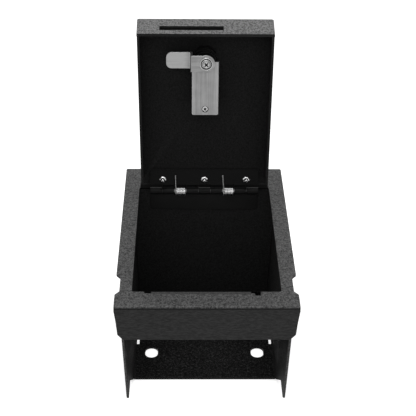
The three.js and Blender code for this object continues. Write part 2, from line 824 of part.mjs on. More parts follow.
// Lock body: the casting between the panel and the clamp plate, with the spindle's boss
function lockBody() {
  const top = -sheet - seatGap;
  const rear = hubY + lockLength - plateThickness;
  const lipEnd = plateLip - plateDepth + seatGap;
  const narrowHalf = plateHalfWidth - plateThickness - seatGap;
  const shoulder = upright(roundNosed(plateX, hubY, rear, lockHalfWidth, plateCorner), -lockNose.depth, top);
  const wide = upright(straightSided(lockHalfWidth, rear), lipEnd, top);
  const raised = upright(straightSided(narrowHalf, rear), bodyUnder, top);
  const nose = rod(plateX, hubY, lockNose.radius, bodyUnder, top, arcSteps * 6);
  const boss = rod(hubX, hubY, bossRadius, camHubTop + seatGap, top - sheet, arcSteps * 4);
  const bore = rod(hubX, hubY, spindleRadius + spindleGap, camHubTop - overrun, overrun, arcSteps * 4);
  const cavity = alongDials(dialCavityRadius, dialsStart, dialsEnd, arcSteps * 4);
  const screwHole = rod(
    plateX,
    plateScrewY,
    studRadius + seatGap,
    bodyUnder - overrun,
    bodyUnder + plateScrewLength,
    arcSteps * 2,
  );
  const casting = joined(shoulder, wide, raised, nose, boss);
  return meshOf("lock_body", cut(casting, bore, cavity, screwHole), darkCasting());
}

// The lock's outline from the hub back
function straightSided(halfWidth, rear) {
  return rectangle(plateX - halfWidth, hubY, plateX + halfWidth, rear, plateCorner);
}

// A cylinder on the dials' axis
function alongDials(radius, front, rear, sides) {
  const geometry = new THREE.CylinderGeometry(radius, radius, rear - front, sides);
  return solidOf(geometry.translate(plateX, (front + rear) / 2, dialAxisZ));
}

// Clamp plate: flat, with a lip folded towards the panel along each long side, cut round the boss and
// beside the cam's crank, and countersunk for its screw
function lockPlate() {
  const half = plateHalfWidth;
  const outer = -plateDepth;
  const inner = outer + plateThickness;
  const lipEnd = outer + plateLip;
  const section = rounded([
    [plateX + half, lipEnd],
    [plateX + half, outer, plateBend],
    [plateX - half, outer, plateBend],
    [plateX - half, lipEnd],
    [plateX + plateThickness - half, lipEnd],
    [plateX + plateThickness - half, inner, plateBend - plateThickness],
    [plateX + half - plateThickness, inner, plateBend - plateThickness],
    [plateX + half - plateThickness, lipEnd],
  ]);
  const rear = hubY + lockLength;
  const front = hubY - plateFront;
  const outline = rounded([
    [plateX - half, front],
    [plateX + half, front],
    [plateX + half, rear, plateCorner],
    [plateX - half, rear, plateCorner],
  ]);
  const besideCrank = rectangle(
    plateX - half - overrun,
    front - overrun,
    hubX - camCrankReach + camClearance,
    hubY + camWidth / 2 + camClearance,
  );
  const bossCut = rod(hubX, hubY, bossRadius + seatGap, outer - overrun, lipEnd + overrun, arcSteps * 4);
  const slope = sinkSlope();
  const sink = turnedSolid(
    [
      [0, -overrun],
      [plateSink + slope * overrun, -overrun],
      [studRadius + seatGap, plateThickness],
      [studRadius + seatGap, plateDepth],
      [0, plateDepth],
    ],
    arcSteps * 4,
  );
  const screwHole = sink.translate(plateX, plateScrewY, outer);
  const blank = alongY(section, front, rear).intersect(upright(outline, outer - overrun, overrun));
  const crankCut = upright(besideCrank, outer - overrun, overrun);
  return meshOf("lock_plate", cut(blank, bossCut, screwHole, crankCut), zinc());
}

// How fast the countersink narrows with depth
const sinkSlope = () => (plateSink - studRadius - seatGap) / plateThickness;

// A screw driven towards the panel, with its head on the lock's inner face
function inwardScrew(name, x, y, seat, solid) {
  const mesh = meshOf(name, solid, zinc());
  mesh.rotation.x = Math.PI;
  mesh.position.set(x, y, seat);
  return mesh;
}

// Spindle: a round shaft from the knob to the cam, with a square post that drives the cam
function lockSpindle() {
  const knobEnd = housingTop + knobSocket;
  const postEnd = -camOuterDepth;
  const shaft = rod(hubX, hubY, spindleRadius, camHubTop + seatGap, knobEnd, arcSteps * 4);
  const post = upright(square(postWidth), postEnd, camHubTop + sheet);
  const screwHole = rod(hubX, hubY, studRadius + seatGap, postEnd - overrun, camHubTop, arcSteps * 2);
  return meshOf("lock_spindle", cut(joined(shaft, post), screwHole), zinc());
}

function square(width) {
  const half = width / 2;
  return rectangle(hubX - half, hubY - half, hubX + half, hubY + half);
}

// Cam: a strip with a round hub, cranked down to the slot's level, drawn in the unlocked position
function lockCam() {
  const hubLow = -camOuterDepth;
  const tipLow = -camTipDepth;
  const crankRight = hubX - camCrankReach;
  const crankLeft = crankRight - camCrankThickness;
  const tip = hubX - camReach;
  const section = rounded([
    [hubX + camHubRadius, hubLow],
    [hubX + camHubRadius, camHubTop],
    [crankRight, camHubTop, camBend],
    [crankRight, camTipTop, camBend],
    [tip, camTipTop],
    [tip, tipLow],
    [crankLeft, tipLow, camBend],
    [crankLeft, hubLow, camOuterBend],
  ]);
  const half = camWidth / 2;
  const outline = rounded([
    [tip, hubY - half, camTipCorner],
    [hubX, hubY - half],
    [hubX, hubY + half],
    [tip, hubY + half, camTipCorner],
  ]);
  const low = hubLow - overrun;
  const reach = camHubRadius + seatGap;
  const strip = alongY(section, hubY - reach, hubY + reach);
  const plan = upright(outline, low, overrun).add(rod(hubX, hubY, camHubRadius, low, overrun, arcSteps * 6));
  const hole = upright(square(postWidth + seatGap * 2), low, overrun);
  return meshOf("lock_cam", cut(strip.intersect(plan), hole), zinc());
}

function camWasher() {
  const low = -camOuterDepth - seatGap - washerThickness;
  const ring = rod(hubX, hubY, washerRadius, low, low + washerThickness, arcSteps * 4);
  const hole = rod(hubX, hubY, studRadius + seatGap, low - overrun, overrun, arcSteps * 2);
  return meshOf("cam_washer", cut(ring, hole), zinc());
}

function camScrew() {
  const seat = -camOuterDepth - seatGap * 2 - washerThickness;
  const shank = camThickness + washerThickness;
  const solid = turnedSolid(
    [
      [0, -shank],
      [studRadius, -shank],
      [studRadius, 0],
      [camScrewRadius, 0],
      [camScrewRadius, camScrewHeight / 2],
      [camScrewRadius - camScrewHeight / 2, camScrewHeight],
      [0, camScrewHeight],
    ],
    arcSteps * 2,
  );
  return inwardScrew("cam_screw", hubX, hubY, seat, solid);
}

// Its countersunk head lies just below the plate's face, clear of the countersink all round
function plateScrew() {
  const slope = sinkSlope();
  const clear = seatGap * Math.hypot(1, slope);
  const rim = plateSink - clear - slope * plateScrewRim;
  const neck = plateScrewRim + (rim - studRadius) / slope;
  const solid = turnedSolid(
    [
      [0, -plateScrewLength],
      [studRadius, -plateScrewLength],
      [studRadius, -neck],
      [rim, -plateScrewRim],
      [studRadius, 0],
      [0, 0],
    ],
    arcSteps * 4,
  );
  return inwardScrew("lock_plate_screw", plateX, plateScrewY, -plateDepth, solid);
}

// Knob: a round skirt with a raised grip bar, and a socket for the spindle
function lockKnob() {
  const base = housingTop + seatGap;
  const grip = new THREE.ExtrudeGeometry(
    rectangle(-gripHalfWidth, -knobRadius + gripInset, gripHalfWidth, knobRadius - gripInset, gripHalfWidth),
    {
      depth: knobHeight - knobSkirt,
      bevelEnabled: true,
      bevelThickness: knobRound,
      bevelSize: knobRound,
      bevelOffset: -knobRound,
      bevelSegments: bendSteps,
      curveSegments: arcSteps,
    },
  );
  const profile = [
    [0, 0],
    [knobRadius, 0],
    [knobRadius, knobSkirt - knobRound],
    [knobRadius - knobRound, knobSkirt],
    [0, knobSkirt],
  ];
  const points = profile.map(([radius, along]) => new THREE.Vector2(radius, along));
  const skirt = new THREE.LatheGeometry(points, arcSteps * 4).rotateX(Math.PI / 2);
  const socket = rod(0, 0, spindleRadius + seatGap, -overrun, knobSocket, arcSteps * 4);
  const solid = cut(joined(solidOf(skirt), solidOf(grip.translate(0, 0, knobSkirt - knobRound))), socket);
  const mesh = meshOf("lock_knob", solid, zinc());
  mesh.position.set(hubX, hubY, base);
  return mesh;
}

// Dial housing: a bevelled cover on the panel's outer face, with a window over each number wheel
function dialHousing() {
  const rear = hubY + lockLength + housingTail;
  const outline = roundNosed(plateX, hubY, rear, housingHalfWidth, plateCorner);
  const geometry = new THREE.ExtrudeGeometry(outline, {
    depth: housingHeight - housingBevel,
    bevelEnabled: true,
    bevelThickness: housingBevel,
    bevelSize: housingBevel,
    bevelOffset: -housingBevel,
    bevelSegments: 1,
    curveSegments: arcSteps * 2,
  });
  const cover = cut(
    solidOf(geometry.translate(0, 0, housingBase)),
    upright(rectangle(-frameWidth, hubY - frameWidth, frameWidth, rear + frameWidth), -frameWidth, housingBase),
  );
  const bore = rod(hubX, hubY, spindleRadius + spindleGap, -overrun, housingTop + overrun, arcSteps * 4);
  const half = dialWidth / 2 + dialGap;
  const windows = dialPlaces.map((y) => alongDials(dialCavityRadius, y - half, y + half, arcSteps * 4));
  const groove = alongDials(axleRadius + seatGap, axleFront - seatGap, axleRear + seatGap, arcSteps * 2);
  return meshOf("dial_housing", cut(cover, bore, ...windows, groove), darkCasting());
}

function dialAxle() {
  return meshOf("dial_axle", alongDials(axleRadius, axleFront, axleRear, arcSteps * 2), zinc());
}

// Number wheels: ten flats each, with bevelled rims and a bore for the axle
function dialWheel(number, y) {
  const half = dialWidth / 2;
  const bore = axleRadius + seatGap;
  const profile = [
    [bore, -half],
    [dialRadius - dialBevel, -half],
    [dialRadius, dialBevel - half],
    [dialRadius, half - dialBevel],
    [dialRadius - dialBevel, half],
    [bore, half],
    [bore, -half],
  ];
  const points = profile.map(([radius, along]) => new THREE.Vector2(radius, along));
  const wheel = solidOf(new THREE.LatheGeometry(points, dialFlats));
  const mesh = meshOf("dial_wheel_" + number, wheel, darkCasting());
  mesh.position.set(plateX, y, dialAxisZ);
  return mesh;
}

// The lid's pieces, drawn closed, and turned about the hinge pin to the open stop
function lid() {
  const closed = new THREE.Group();
  closed.add(lidPan(), hingeLeafLid(), ...leafNuts());
  closed.add(lockBody(), lockPlate(), plateScrew(), dialHousing(), dialAxle());
  closed.add(lockSpindle(), lockCam(), camWasher(), camScrew(), lockKnob());
  closed.add(...dialPlaces.map((y, i) => dialWheel(i + 1, y)));
  closed.position.set(0, -axisY, axisDrop);
  const swung = new THREE.Group();
  swung.add(closed);
  swung.position.set(0, axisY, axisZ);
  swung.rotation.x = -openAngle;
  return swung;
}

function box() {
  const group = new THREE.Group();
  group.add(topFrame(), sideWall("side_wall_left", -1), sideWall("side_wall_right", 1));
  group.add(backWall(), floorPlate(), hingeLeafBody(), hingePin());
  group.add(...springs());
  return group;
}

const group = new THREE.Group();
group.add(box(), lid());

export default group;
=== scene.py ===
"""Console safe: the finish of every surface, and the small parts that the frame leaves plain.

Lengths are in metres. The frame's nodes give the places, and the values below give what the frame
doesn't hold: radii of edges, wire, recesses, numerals, camera and lamps.
"""

import json
from math import cos, pi, radians, sin, tan

import bmesh
import bpy
import numpy as np
from mathutils import Matrix, Vector


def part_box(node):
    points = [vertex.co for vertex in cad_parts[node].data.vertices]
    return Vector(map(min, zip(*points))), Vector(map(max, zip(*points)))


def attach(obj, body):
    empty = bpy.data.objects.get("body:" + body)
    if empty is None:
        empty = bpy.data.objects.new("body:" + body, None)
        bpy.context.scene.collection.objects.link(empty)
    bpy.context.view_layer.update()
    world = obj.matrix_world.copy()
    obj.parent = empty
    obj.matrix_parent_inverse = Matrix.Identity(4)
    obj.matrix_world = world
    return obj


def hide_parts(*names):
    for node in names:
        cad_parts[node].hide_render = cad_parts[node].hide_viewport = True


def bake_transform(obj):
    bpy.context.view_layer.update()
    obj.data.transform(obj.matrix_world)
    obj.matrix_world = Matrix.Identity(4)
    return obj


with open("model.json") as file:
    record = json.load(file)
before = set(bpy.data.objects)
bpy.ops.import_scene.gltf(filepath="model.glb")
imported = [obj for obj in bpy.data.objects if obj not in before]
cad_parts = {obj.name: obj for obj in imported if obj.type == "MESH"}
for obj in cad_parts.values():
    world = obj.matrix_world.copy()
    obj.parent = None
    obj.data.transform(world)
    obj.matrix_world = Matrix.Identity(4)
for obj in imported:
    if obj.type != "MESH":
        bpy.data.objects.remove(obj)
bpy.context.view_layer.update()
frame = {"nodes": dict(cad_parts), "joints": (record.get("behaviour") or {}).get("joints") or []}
MM = 0.001

# Camera, solved from the corners of the frame, the lid and the floor's holes
IMAGE_SIDE = 416
FOCAL_PIXELS = 1118.7
SENSOR = 36.0
CAMERA_PLACE = Vector((-20.21, -1056.92, 814.22)) * MM
CAMERA_YAW = radians(1.25)
CAMERA_PITCH = radians(31.03)
CAMERA_ROLL = radians(0.73)

# Lid and hinge, from the joint that turns the lid
HINGE = next(j for j in frame["joints"] if j["name"] == "lid_hinge")
HINGE_AXIS = Vector(HINGE["pos_m"])
OPEN_ANGLE = radians(HINGE["range_deg"][1])
LID_TURN = Matrix.Rotation(-OPEN_ANGLE, 4, "X")

# Rounded edges
SHEET_EDGE = 0.6 * MM
PLATE_EDGE = 0.35 * MM
FINE_EDGE = 0.25 * MM
CASTING_EDGE = 0.8 * MM
EDGE_STEPS = 3
SHARP_ANGLE = radians(32)
FLAT_ANGLE = radians(0.5)
SAME_PLACE = 0.01 * MM

# Springs
SPRING_WIRE = 1.45 * MM
COIL_RADIUS = 3.55 * MM
COIL_SAG = (-0.5 * MM, -0.7 * MM)  # how far the loose coil lies in front of and below the axis
COIL_SHIFT = (0.7 * MM, -0.4 * MM)  # how far the coil's ends stand to the right of the plain ones
LEG_LEAN = {"torsion_spring_left": -0.6 * MM, "torsion_spring_right": -1.9 * MM}
LEG_STEP = 4.5 * MM  # leg's distance from the axis, clear of the lid's leaf
COIL_TURNS = 6
LID_LEG = 21.9 * MM
BODY_LEG = 4.9 * MM
BODY_LEG_STEPS = 8
BODY_LEG_SLANT = radians(48)
LEG_STEPS = 30
TURN_STEPS = 40
WIRE_SIDES = 14


# Meshes worked out as whole arrays


def mesh_object(name, points, faces, smooth=True):
    """An object at the origin from an array of points and lists of corner numbers."""
    mesh = bpy.data.meshes.new(name)
    mesh.from_pydata(np.asarray(points, float).reshape(-1, 3).tolist(), [], [list(f) for f in faces])
    mesh.update()
    mesh.polygons.foreach_set("use_smooth", [smooth] * len(mesh.polygons))
    piece = bpy.data.objects.new(name, mesh)
    bpy.context.scene.collection.objects.link(piece)
    return piece


def grid_faces(rows, columns, closed):
    """Four-cornered faces of a grid of points, row by row, with its columns closed into a ring or not."""
    across = columns if closed else columns - 1
    i, k = np.meshgrid(np.arange(rows - 1), np.arange(across), indexing="ij")
    right = (k + 1) % columns
    corners = [i * columns + k, i * columns + right, (i + 1) * columns + right, (i + 1) * columns + k]
    return np.stack(corners, axis=-1).reshape(-1, 4)


def tube(path, radius, sides, across=(1.0, 0.0, 0.0)):
    """Points and faces of a round tube: at each point of the path stands a ring square to the path's
    direction, measured from the ring's nearest direction to a given one; the two end rings are closed by
    a face. The radius is one number, or one for each point."""
    path = np.asarray(path, float)
    ahead = np.gradient(path, axis=0)
    ahead /= np.linalg.norm(ahead, axis=1)[:, None]
    axis = np.array(across)
    radius = np.broadcast_to(radius, len(path))[:, None, None]
    side = axis - ahead * (ahead @ axis)[:, None]
    side /= np.linalg.norm(side, axis=1)[:, None]
    up = np.cross(ahead, side)
    angle = np.linspace(0, 2 * pi, sides, endpoint=False)
    rings = (
        path[:, None, :]
        + radius * np.cos(angle)[None, :, None] * side[:, None, :]
        + radius * np.sin(angle)[None, :, None] * up[:, None, :]
    )
    faces = [list(f) for f in grid_faces(len(path), sides, True)]
    last = (len(path) - 1) * sides
    faces.append(list(range(sides))[::-1])
    faces.append([last + k for k in range(sides)])
    return rings.reshape(-1, 3), faces


def closed_up(piece, turn=None, place=None):
    """Merges doubled points, turns faces outwards, and then applies a turn and a place to the mesh."""
    work = bmesh.new()
    work.from_mesh(piece.data)
    bmesh.ops.remove_doubles(work, verts=work.verts, dist=1e-7)
    bmesh.ops.recalc_face_normals(work, faces=work.faces)
    work.to_mesh(piece.data)
    work.free()
    piece.data.transform((Matrix.Translation(place or Vector())) @ (turn or Matrix.Identity(4)))
    return piece


def softened(node, width, cuts=(), whole=True):
    """A copy of a CAD node with its flat faces whole, or else in triangles, and its sharp edges rounded
    off. Each cut is a place and a direction of a plane that divides the faces it passes through."""
    source = frame["nodes"][node].data
    work = bmesh.new()
    work.from_mesh(source)
    bmesh.ops.remove_doubles(work, verts=work.verts, dist=SAME_PLACE)
    if whole:
        bmesh.ops.dissolve_limit(work, angle_limit=FLAT_ANGLE, verts=work.verts, edges=work.edges)
    for place, direction in cuts:
        everything = list(work.verts) + list(work.edges) + list(work.faces)
        bmesh.ops.bisect_plane(work, geom=everything, dist=SAME_PLACE, plane_co=place, plane_no=direction)
    mesh = bpy.data.meshes.new(node + "_finish")
    work.to_mesh(mesh)
    work.free()
    mesh.polygons.foreach_set("use_smooth", [True] * len(mesh.polygons))
    piece = bpy.data.objects.new(node + "_finish", mesh)
    bpy.context.scene.collection.objects.link(piece)
    bevel = piece.modifiers.new("edges", "BEVEL")
    bevel.width = width
    bevel.segments = EDGE_STEPS
    bevel.limit_method = "ANGLE"
    bevel.angle_limit = SHARP_ANGLE
    even = piece.modifiers.new("even_shading", "WEIGHTED_NORMAL")
    even.weight = 100
    even.keep_sharp = True
    return piece


def rimmed(piece, material):
    """The rounded edges take a finish of their own: a painted highlight, paler than the faces beside them.
    """
    piece.data.materials.append(material)
    piece.modifiers["edges"].material = len(piece.data.materials) - 1
    return piece


def fitted(piece, body, slot, material, *nodes):
    """The piece rides on a body, takes a material, and stands for the nodes named. Its slot is not used."""
    piece.data.materials.append(material)
    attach(piece, body)
    if nodes:
        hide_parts(*nodes)
    return piece


def faces_of(piece):
    """The middle and the direction of each face, as arrays."""
    faces = piece.data.polygons
    middles = np.empty(len(faces) * 3)
    directions = np.empty(len(faces) * 3)
    faces.foreach_get("center", middles)
    faces.foreach_get("normal", directions)
    return middles.reshape(-1, 3), directions.reshape(-1, 3)


def lined(piece, *finishes):
    """Faces that are marked take other materials, such as painted shade on the inner faces of a sheet.
    Each finish is a material and the marks of its faces."""
    index = np.zeros(len(piece.data.polygons), np.int32)
    for number, (material, marks) in enumerate(finishes):
        piece.data.materials.append(material)
        index[marks] = number + 1
    piece.data.polygons.foreach_set("material_index", index)
    return piece


# Materials


def grey(level):
    return (level, level, level)


class Nodes:
    """A short way to write a material's nodes."""

    def __init__(self, name):
        self.material = bpy.data.materials.new(name)
        self.material.use_nodes = True
        self.tree = self.material.node_tree
        self.shader = self.tree.nodes["Principled BSDF"]
        self.output = self.tree.nodes["Material Output"]
        self.place = self.add("ShaderNodeTexCoord").outputs["Object"]

    def add(self, kind, **values):
        node = self.tree.nodes.new(kind)
        for name, value in values.items():
            setattr(node, name, value)
        return node

    def link(self, a, b):
        self.tree.links.new(a, b)

    def mapped(self, vector, size, turn=(0, 0, 0)):
        """The place in turned axes, as a count of cells of the given size."""
        node = self.add("ShaderNodeMapping", vector_type="TEXTURE")
        node.inputs["Rotation"].default_value = turn
        node.inputs["Scale"].default_value = size
        self.link(vector, node.inputs["Vector"])
        return node.outputs["Vector"]

    def noise(self, vector, scale, detail=4.0, roughness=0.5):
        node = self.add("ShaderNodeTexNoise")
        node.inputs["Scale"].default_value = scale
        node.inputs["Detail"].default_value = detail
        node.inputs["Roughness"].default_value = roughness
        self.link(vector, node.inputs["Vector"])
        return node.outputs["Fac"]

    def ranged(self, value, low, high, to_low, to_high):
        node = self.add("ShaderNodeMapRange")
        for name, number in zip(("From Min", "From Max", "To Min", "To Max"), (low, high, to_low, to_high)):
            node.inputs[name].default_value = number
        self.link(value, node.inputs["Value"])
        return node.outputs["Result"]

    def sum(self, a, b, operation="ADD"):
        node = self.add("ShaderNodeMath", operation=operation)
        self.link(a, node.inputs[0])
        if isinstance(b, (int, float)):
            node.inputs[1].default_value = b
        else:
            self.link(b, node.inputs[1])
        return node.outputs[0]

    def blend(self, factor, first, second):
        node = self.add("ShaderNodeMix", data_type="RGBA")
        node.inputs["A"].default_value = (*first, 1)
        node.inputs["B"].default_value = (*second, 1)
        self.link(factor, node.inputs["Factor"])
        return node.outputs["Result"]

    def bump(self, height, strength, distance):
        node = self.add("ShaderNodeBump")
        node.inputs["Strength"].default_value = strength
        node.inputs["Distance"].default_value = distance
        self.link(height, node.inputs["Height"])
        self.link(node.outputs["Normal"], self.shader.inputs["Normal"])

    def set(self, **values):
        for name, value in values.items():
            self.shader.inputs[name.replace("_", " ")].default_value = value


def lid_shade(nodes):
    """How much of the coat's light is left: little right behind the opening, where the open lid and its
    leaf keep the light off, and all of it a little further back."""
    across = nodes.add("ShaderNodeSeparateXYZ")
    nodes.link(nodes.place, across.inputs[0])
    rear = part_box("back_wall")[0].y
    return nodes.ranged(across.outputs["Y"], rear + SHADE_START, rear + SHADE_REACH, 0.0, 1.0)


# Finishes: scales of noise in cells to the metre, and heights of relief
DRIFT_SCALE = 14.0
BROAD_SHARE = 0.4
GRAIN_SPREAD = 0.17
COAT_RELIEF = 0.5 * MM
CLOUD_SCALE = 90.0
SCRATCH_RELIEF = 0.05 * MM
MOTTLE_SCALE = 900.0
MOTTLE_RELIEF = 0.03 * MM
PEEL_SCALE = 700.0
PEEL_RELIEF = 0.05 * MM
PAINT_CLOUD_SCALE = 60.0
NUMERAL_CLOUD_SCALE = 1500.0


def textured_coat(
    name, pit, crown, grain, relief, rough, shine, contrast=1.0, stretch=1.0, centre=0.7, shaded=False
):
    """Textured powder coat: a wrinkled skin of rounded grains whose tone follows the relief, with painted
    shade in its pits and painted light on its crowns.
    """
    nodes = Nodes(name)
    cells = nodes.mapped(nodes.place, (grain * stretch, grain, grain))
    fine = nodes.noise(cells, 1.0, 3.0, 0.65)
    broad = nodes.noise(cells, 0.45, 2.0, 0.5)
    drift = nodes.noise(nodes.place, DRIFT_SCALE, 2.0, 0.5)
    height = nodes.sum(fine, nodes.sum(broad, BROAD_SHARE, "MULTIPLY"))
    spread = GRAIN_SPREAD / contrast
    grains = nodes.ranged(height, centre - spread, centre + spread, 0.0, 1.0)
    shade = nodes.sum(grains, nodes.ranged(drift, 0.3, 0.7, -0.05, 0.05))
    if shaded:
        shade = nodes.sum(shade, lid_shade(nodes), "MULTIPLY")
    # painted shade in the pits and painted light on the crowns, over a slow drift of tone
    nodes.link(nodes.blend(shade, grey(pit), grey(crown)), nodes.shader.inputs["Base Color"])
    nodes.link(nodes.ranged(fine, 0.35, 0.65, rough + 0.1, rough - 0.08), nodes.shader.inputs["Roughness"])
    nodes.bump(height, relief, COAT_RELIEF)
    nodes.set(Specular_IOR_Level=shine)
    return nodes.material


def brushed_metal(name, base, size, middle, half, edge_light, contrast):
    """Brushed, zinc plated steel: fine and broad scratches that run one way, with faint clouds of plating,
    and a painted highlight that grows towards the edges at half a width from its middle."""
    nodes = Nodes(name)
    turned = nodes.mapped(nodes.place, size, (-OPEN_ANGLE, 0, 0))
    streak = nodes.noise(turned, 1.0, 3.0, 0.6)
    band = nodes.noise(turned, 0.22, 2.0, 0.5)
    cloud = nodes.noise(nodes.place, CLOUD_SCALE, 3.0, 0.55)
    across = nodes.add("ShaderNodeSeparateXYZ")
    nodes.link(nodes.place, across.inputs[0])
    off = nodes.sum(nodes.sum(across.outputs["X"], -middle), 0.0, "ABSOLUTE")
    # painted highlight, rising towards the edges
    edge_highlight = nodes.ranged(off, half * 0.66, half, 0.0, edge_light)
    scratches = nodes.sum(nodes.ranged(streak, 0.3, 0.7, 0.0, 0.4), nodes.ranged(band, 0.3, 0.7, 0.0, 0.4))
    shade = nodes.sum(nodes.sum(scratches, nodes.ranged(cloud, 0.35, 0.65, 0.0, 0.2)), edge_highlight)
    low, high = grey(base * (1 - contrast)), grey(base * (1 + contrast))
    nodes.link(nodes.blend(shade, low, high), nodes.shader.inputs["Base Color"])
    nodes.link(nodes.ranged(streak, 0.3, 0.7, 0.4, 0.29), nodes.shader.inputs["Roughness"])
    nodes.bump(streak, 0.25, SCRATCH_RELIEF)
    nodes.set(Metallic=1.0)
    return nodes.material


def plated_metal(name, base, rough):
    """Bright plated metal with a little mottling."""
    nodes = Nodes(name)
    cloud = nodes.noise(nodes.place, MOTTLE_SCALE, 3.0, 0.6)
    nodes.link(nodes.blend(cloud, grey(base * 0.85), grey(base * 1.1)), nodes.shader.inputs["Base Color"])
    nodes.link(nodes.ranged(cloud, 0.3, 0.7, rough - 0.05, rough + 0.08), nodes.shader.inputs["Roughness"])
    nodes.bump(cloud, 0.15, MOTTLE_RELIEF)
    nodes.set(Metallic=1.0)
    return nodes.material


def smooth_black(name, base, rough, shine):
    """Smooth black paint or casting with a faint orange peel."""
    nodes = Nodes(name)
    peel = nodes.noise(nodes.place, PEEL_SCALE, 2.0, 0.5)
    cloud = nodes.noise(nodes.place, PAINT_CLOUD_SCALE, 3.0, 0.5)
    nodes.link(nodes.blend(cloud, grey(base * 0.8), grey(base * 1.3)), nodes.shader.inputs["Base Color"])
    nodes.link(nodes.ranged(cloud, 0.3, 0.7, rough - 0.06, rough + 0.06), nodes.shader.inputs["Roughness"])
    nodes.bump(peel, 0.2, PEEL_RELIEF)
    nodes.set(Specular_IOR_Level=shine)
    return nodes.material


def numeral_paint():
    """White paint in the wheels' numerals."""
    nodes = Nodes("numeral_paint")
    cloud = nodes.noise(nodes.place, NUMERAL_CLOUD_SCALE, 2.0, 0.5)
    nodes.link(nodes.blend(cloud, grey(0.58), grey(0.76)), nodes.shader.inputs["Base Color"])
    nodes.set(Roughness=0.5)
    return nodes.material


PLATE_MIDDLE = -0.2 * MM
PLATE_HALF = 15.2 * MM
PLATE_SCRATCH = (1.1 * MM, 60 * MM, 1.1 * MM)  # a scratch's width, length and depth in the closed lid's axes
CAM_MIDDLE = 0.7 * MM
CAM_HALF = 25 * MM
CAM_SCRATCH = (30 * MM, 1.5 * MM, 1.5 * MM)
# Painted shade behind the hinge: the coat is darkest up to SHADE_START from the back wall's face, and full
# at SHADE_REACH
SHADE_START = 8 * MM
SHADE_REACH = 15 * MM
HINGE_SIDE = 75.6 * MM
COAT = textured_coat("textured_coat", 0.007, 0.083, 1.5 * MM, 1.0, 0.42, 0.2, contrast=1.4)
SHADED_COAT = textured_coat(
    "shaded_coat", 0.007, 0.1, 1.6 * MM, 0.8, 0.6, 0.0, contrast=1.7, shaded=True
)
# painted light: the lid's front flange, which faces up into the lamp, is a paler copy of the coat
FLANGE_LIT_COAT = textured_coat("flange_painted_light", 0.02, 0.155, 1.4 * MM, 1.0, 0.42, 0.25, contrast=1.4)
# painted shade: the front-facing skirt is a darker copy of the coat, with its grain drawn out along it
SKIRT_SHADE_COAT = textured_coat("skirt_painted_shade", 0.012, 0.033, 0.9 * MM, 0.5, 0.5, 0.13, stretch=5.0)
# painted shade along the tab's bend
TAB_SHADE_COAT = textured_coat("tab_painted_shade", 0.01, 0.052, 1.2 * MM, 0.7, 0.5, 0.15)
# painted shade on the lower half of bends and on sheet edges that face forward
BEND_SHADE_COAT = textured_coat("bend_painted_shade", 0.006, 0.02, 0.9 * MM, 0.5, 0.55, 0.08)
# painted shade on faces that look into hollows, and on the weld beads
INNER_SHADE_COAT = textured_coat("inner_painted_shade", 0.006, 0.017, 0.9 * MM, 0.5, 0.6, 0.06)
# painted shade inside the well
WELL_SHADE_COAT = textured_coat("well_painted_shade", 0.012, 0.028, 0.9 * MM, 0.5, 0.6, 0.06)
# painted shade on the floor inside the box, with a sparser speckle
FLOOR_SHADE_COAT = textured_coat("floor_painted_shade", 0.001, 0.04, 1.2 * MM, 1.0, 0.5, 0.05, contrast=1.6, centre=0.8)
PLATE_STEEL = brushed_metal(
    "plate_steel", 0.255, PLATE_SCRATCH, PLATE_MIDDLE, PLATE_HALF, edge_light=0.55, contrast=0.33
)
CAM_STEEL = brushed_metal(
    "cam_steel", 0.26, CAM_SCRATCH, CAM_MIDDLE, CAM_HALF, edge_light=0.5, contrast=0.34
)
# painted highlight on the lock plate's rounded edges
PLATE_EDGE_HIGHLIGHT = plated_metal("plate_edge_highlight", 0.33, 0.4)
BRIGHT_STEEL = plated_metal("bright_steel", 0.5, 0.22)
# dull steel for the hinge pin, and painted shade on the cam screw's rings and rim
DULL_STEEL_AND_SHADE = plated_metal("dull_steel_and_painted_shade", 0.2, 0.35)
NUT_STEEL = plated_metal("nut_steel", 0.75, 0.2)
WASHER_STEEL = plated_metal("washer_steel", 0.42, 0.24)
SPRING_STEEL = plated_metal("spring_wire", 0.8, 0.26)
# painted shade on the springs' legs, the same wire as the coils
SPRING_LEG_SHADE = plated_metal("spring_leg_painted_shade", 0.33, 0.4)
# painted shade in recesses, grooves, countersinks and centre marks
RECESS_SHADE = plated_metal("recess_painted_shade", 0.01, 0.5)
# painted shade in the nut's mouth round its stud
NUT_MOUTH_SHADE = smooth_black("nut_mouth_painted_shade", 0.004, 0.4, 0.1)
HINGE_BLACK = smooth_black("hinge_black", 0.006, 0.4, 0.08)
CASTING_BLACK = smooth_black("casting_black", 0.003, 0.35, 0.08)
# painted highlight on the lock body's rounded edges
CASTING_EDGE_HIGHLIGHT = smooth_black("casting_edge_highlight", 0.03, 0.3, 0.3)
NUMERALS = numeral_paint()


# The box

OPENING_FRONT = 27.1 * MM  # skirt's face to the opening
BEAD_RADIUS = 0.9 * MM
BEAD_RIPPLE = 2.6 * MM
BEAD_SWELL = 0.1
BEAD_STEPS = 5
BEAD_SIDES = 10
SEAM_GAP = 0.3 * MM
STOCK = 2.7 * MM


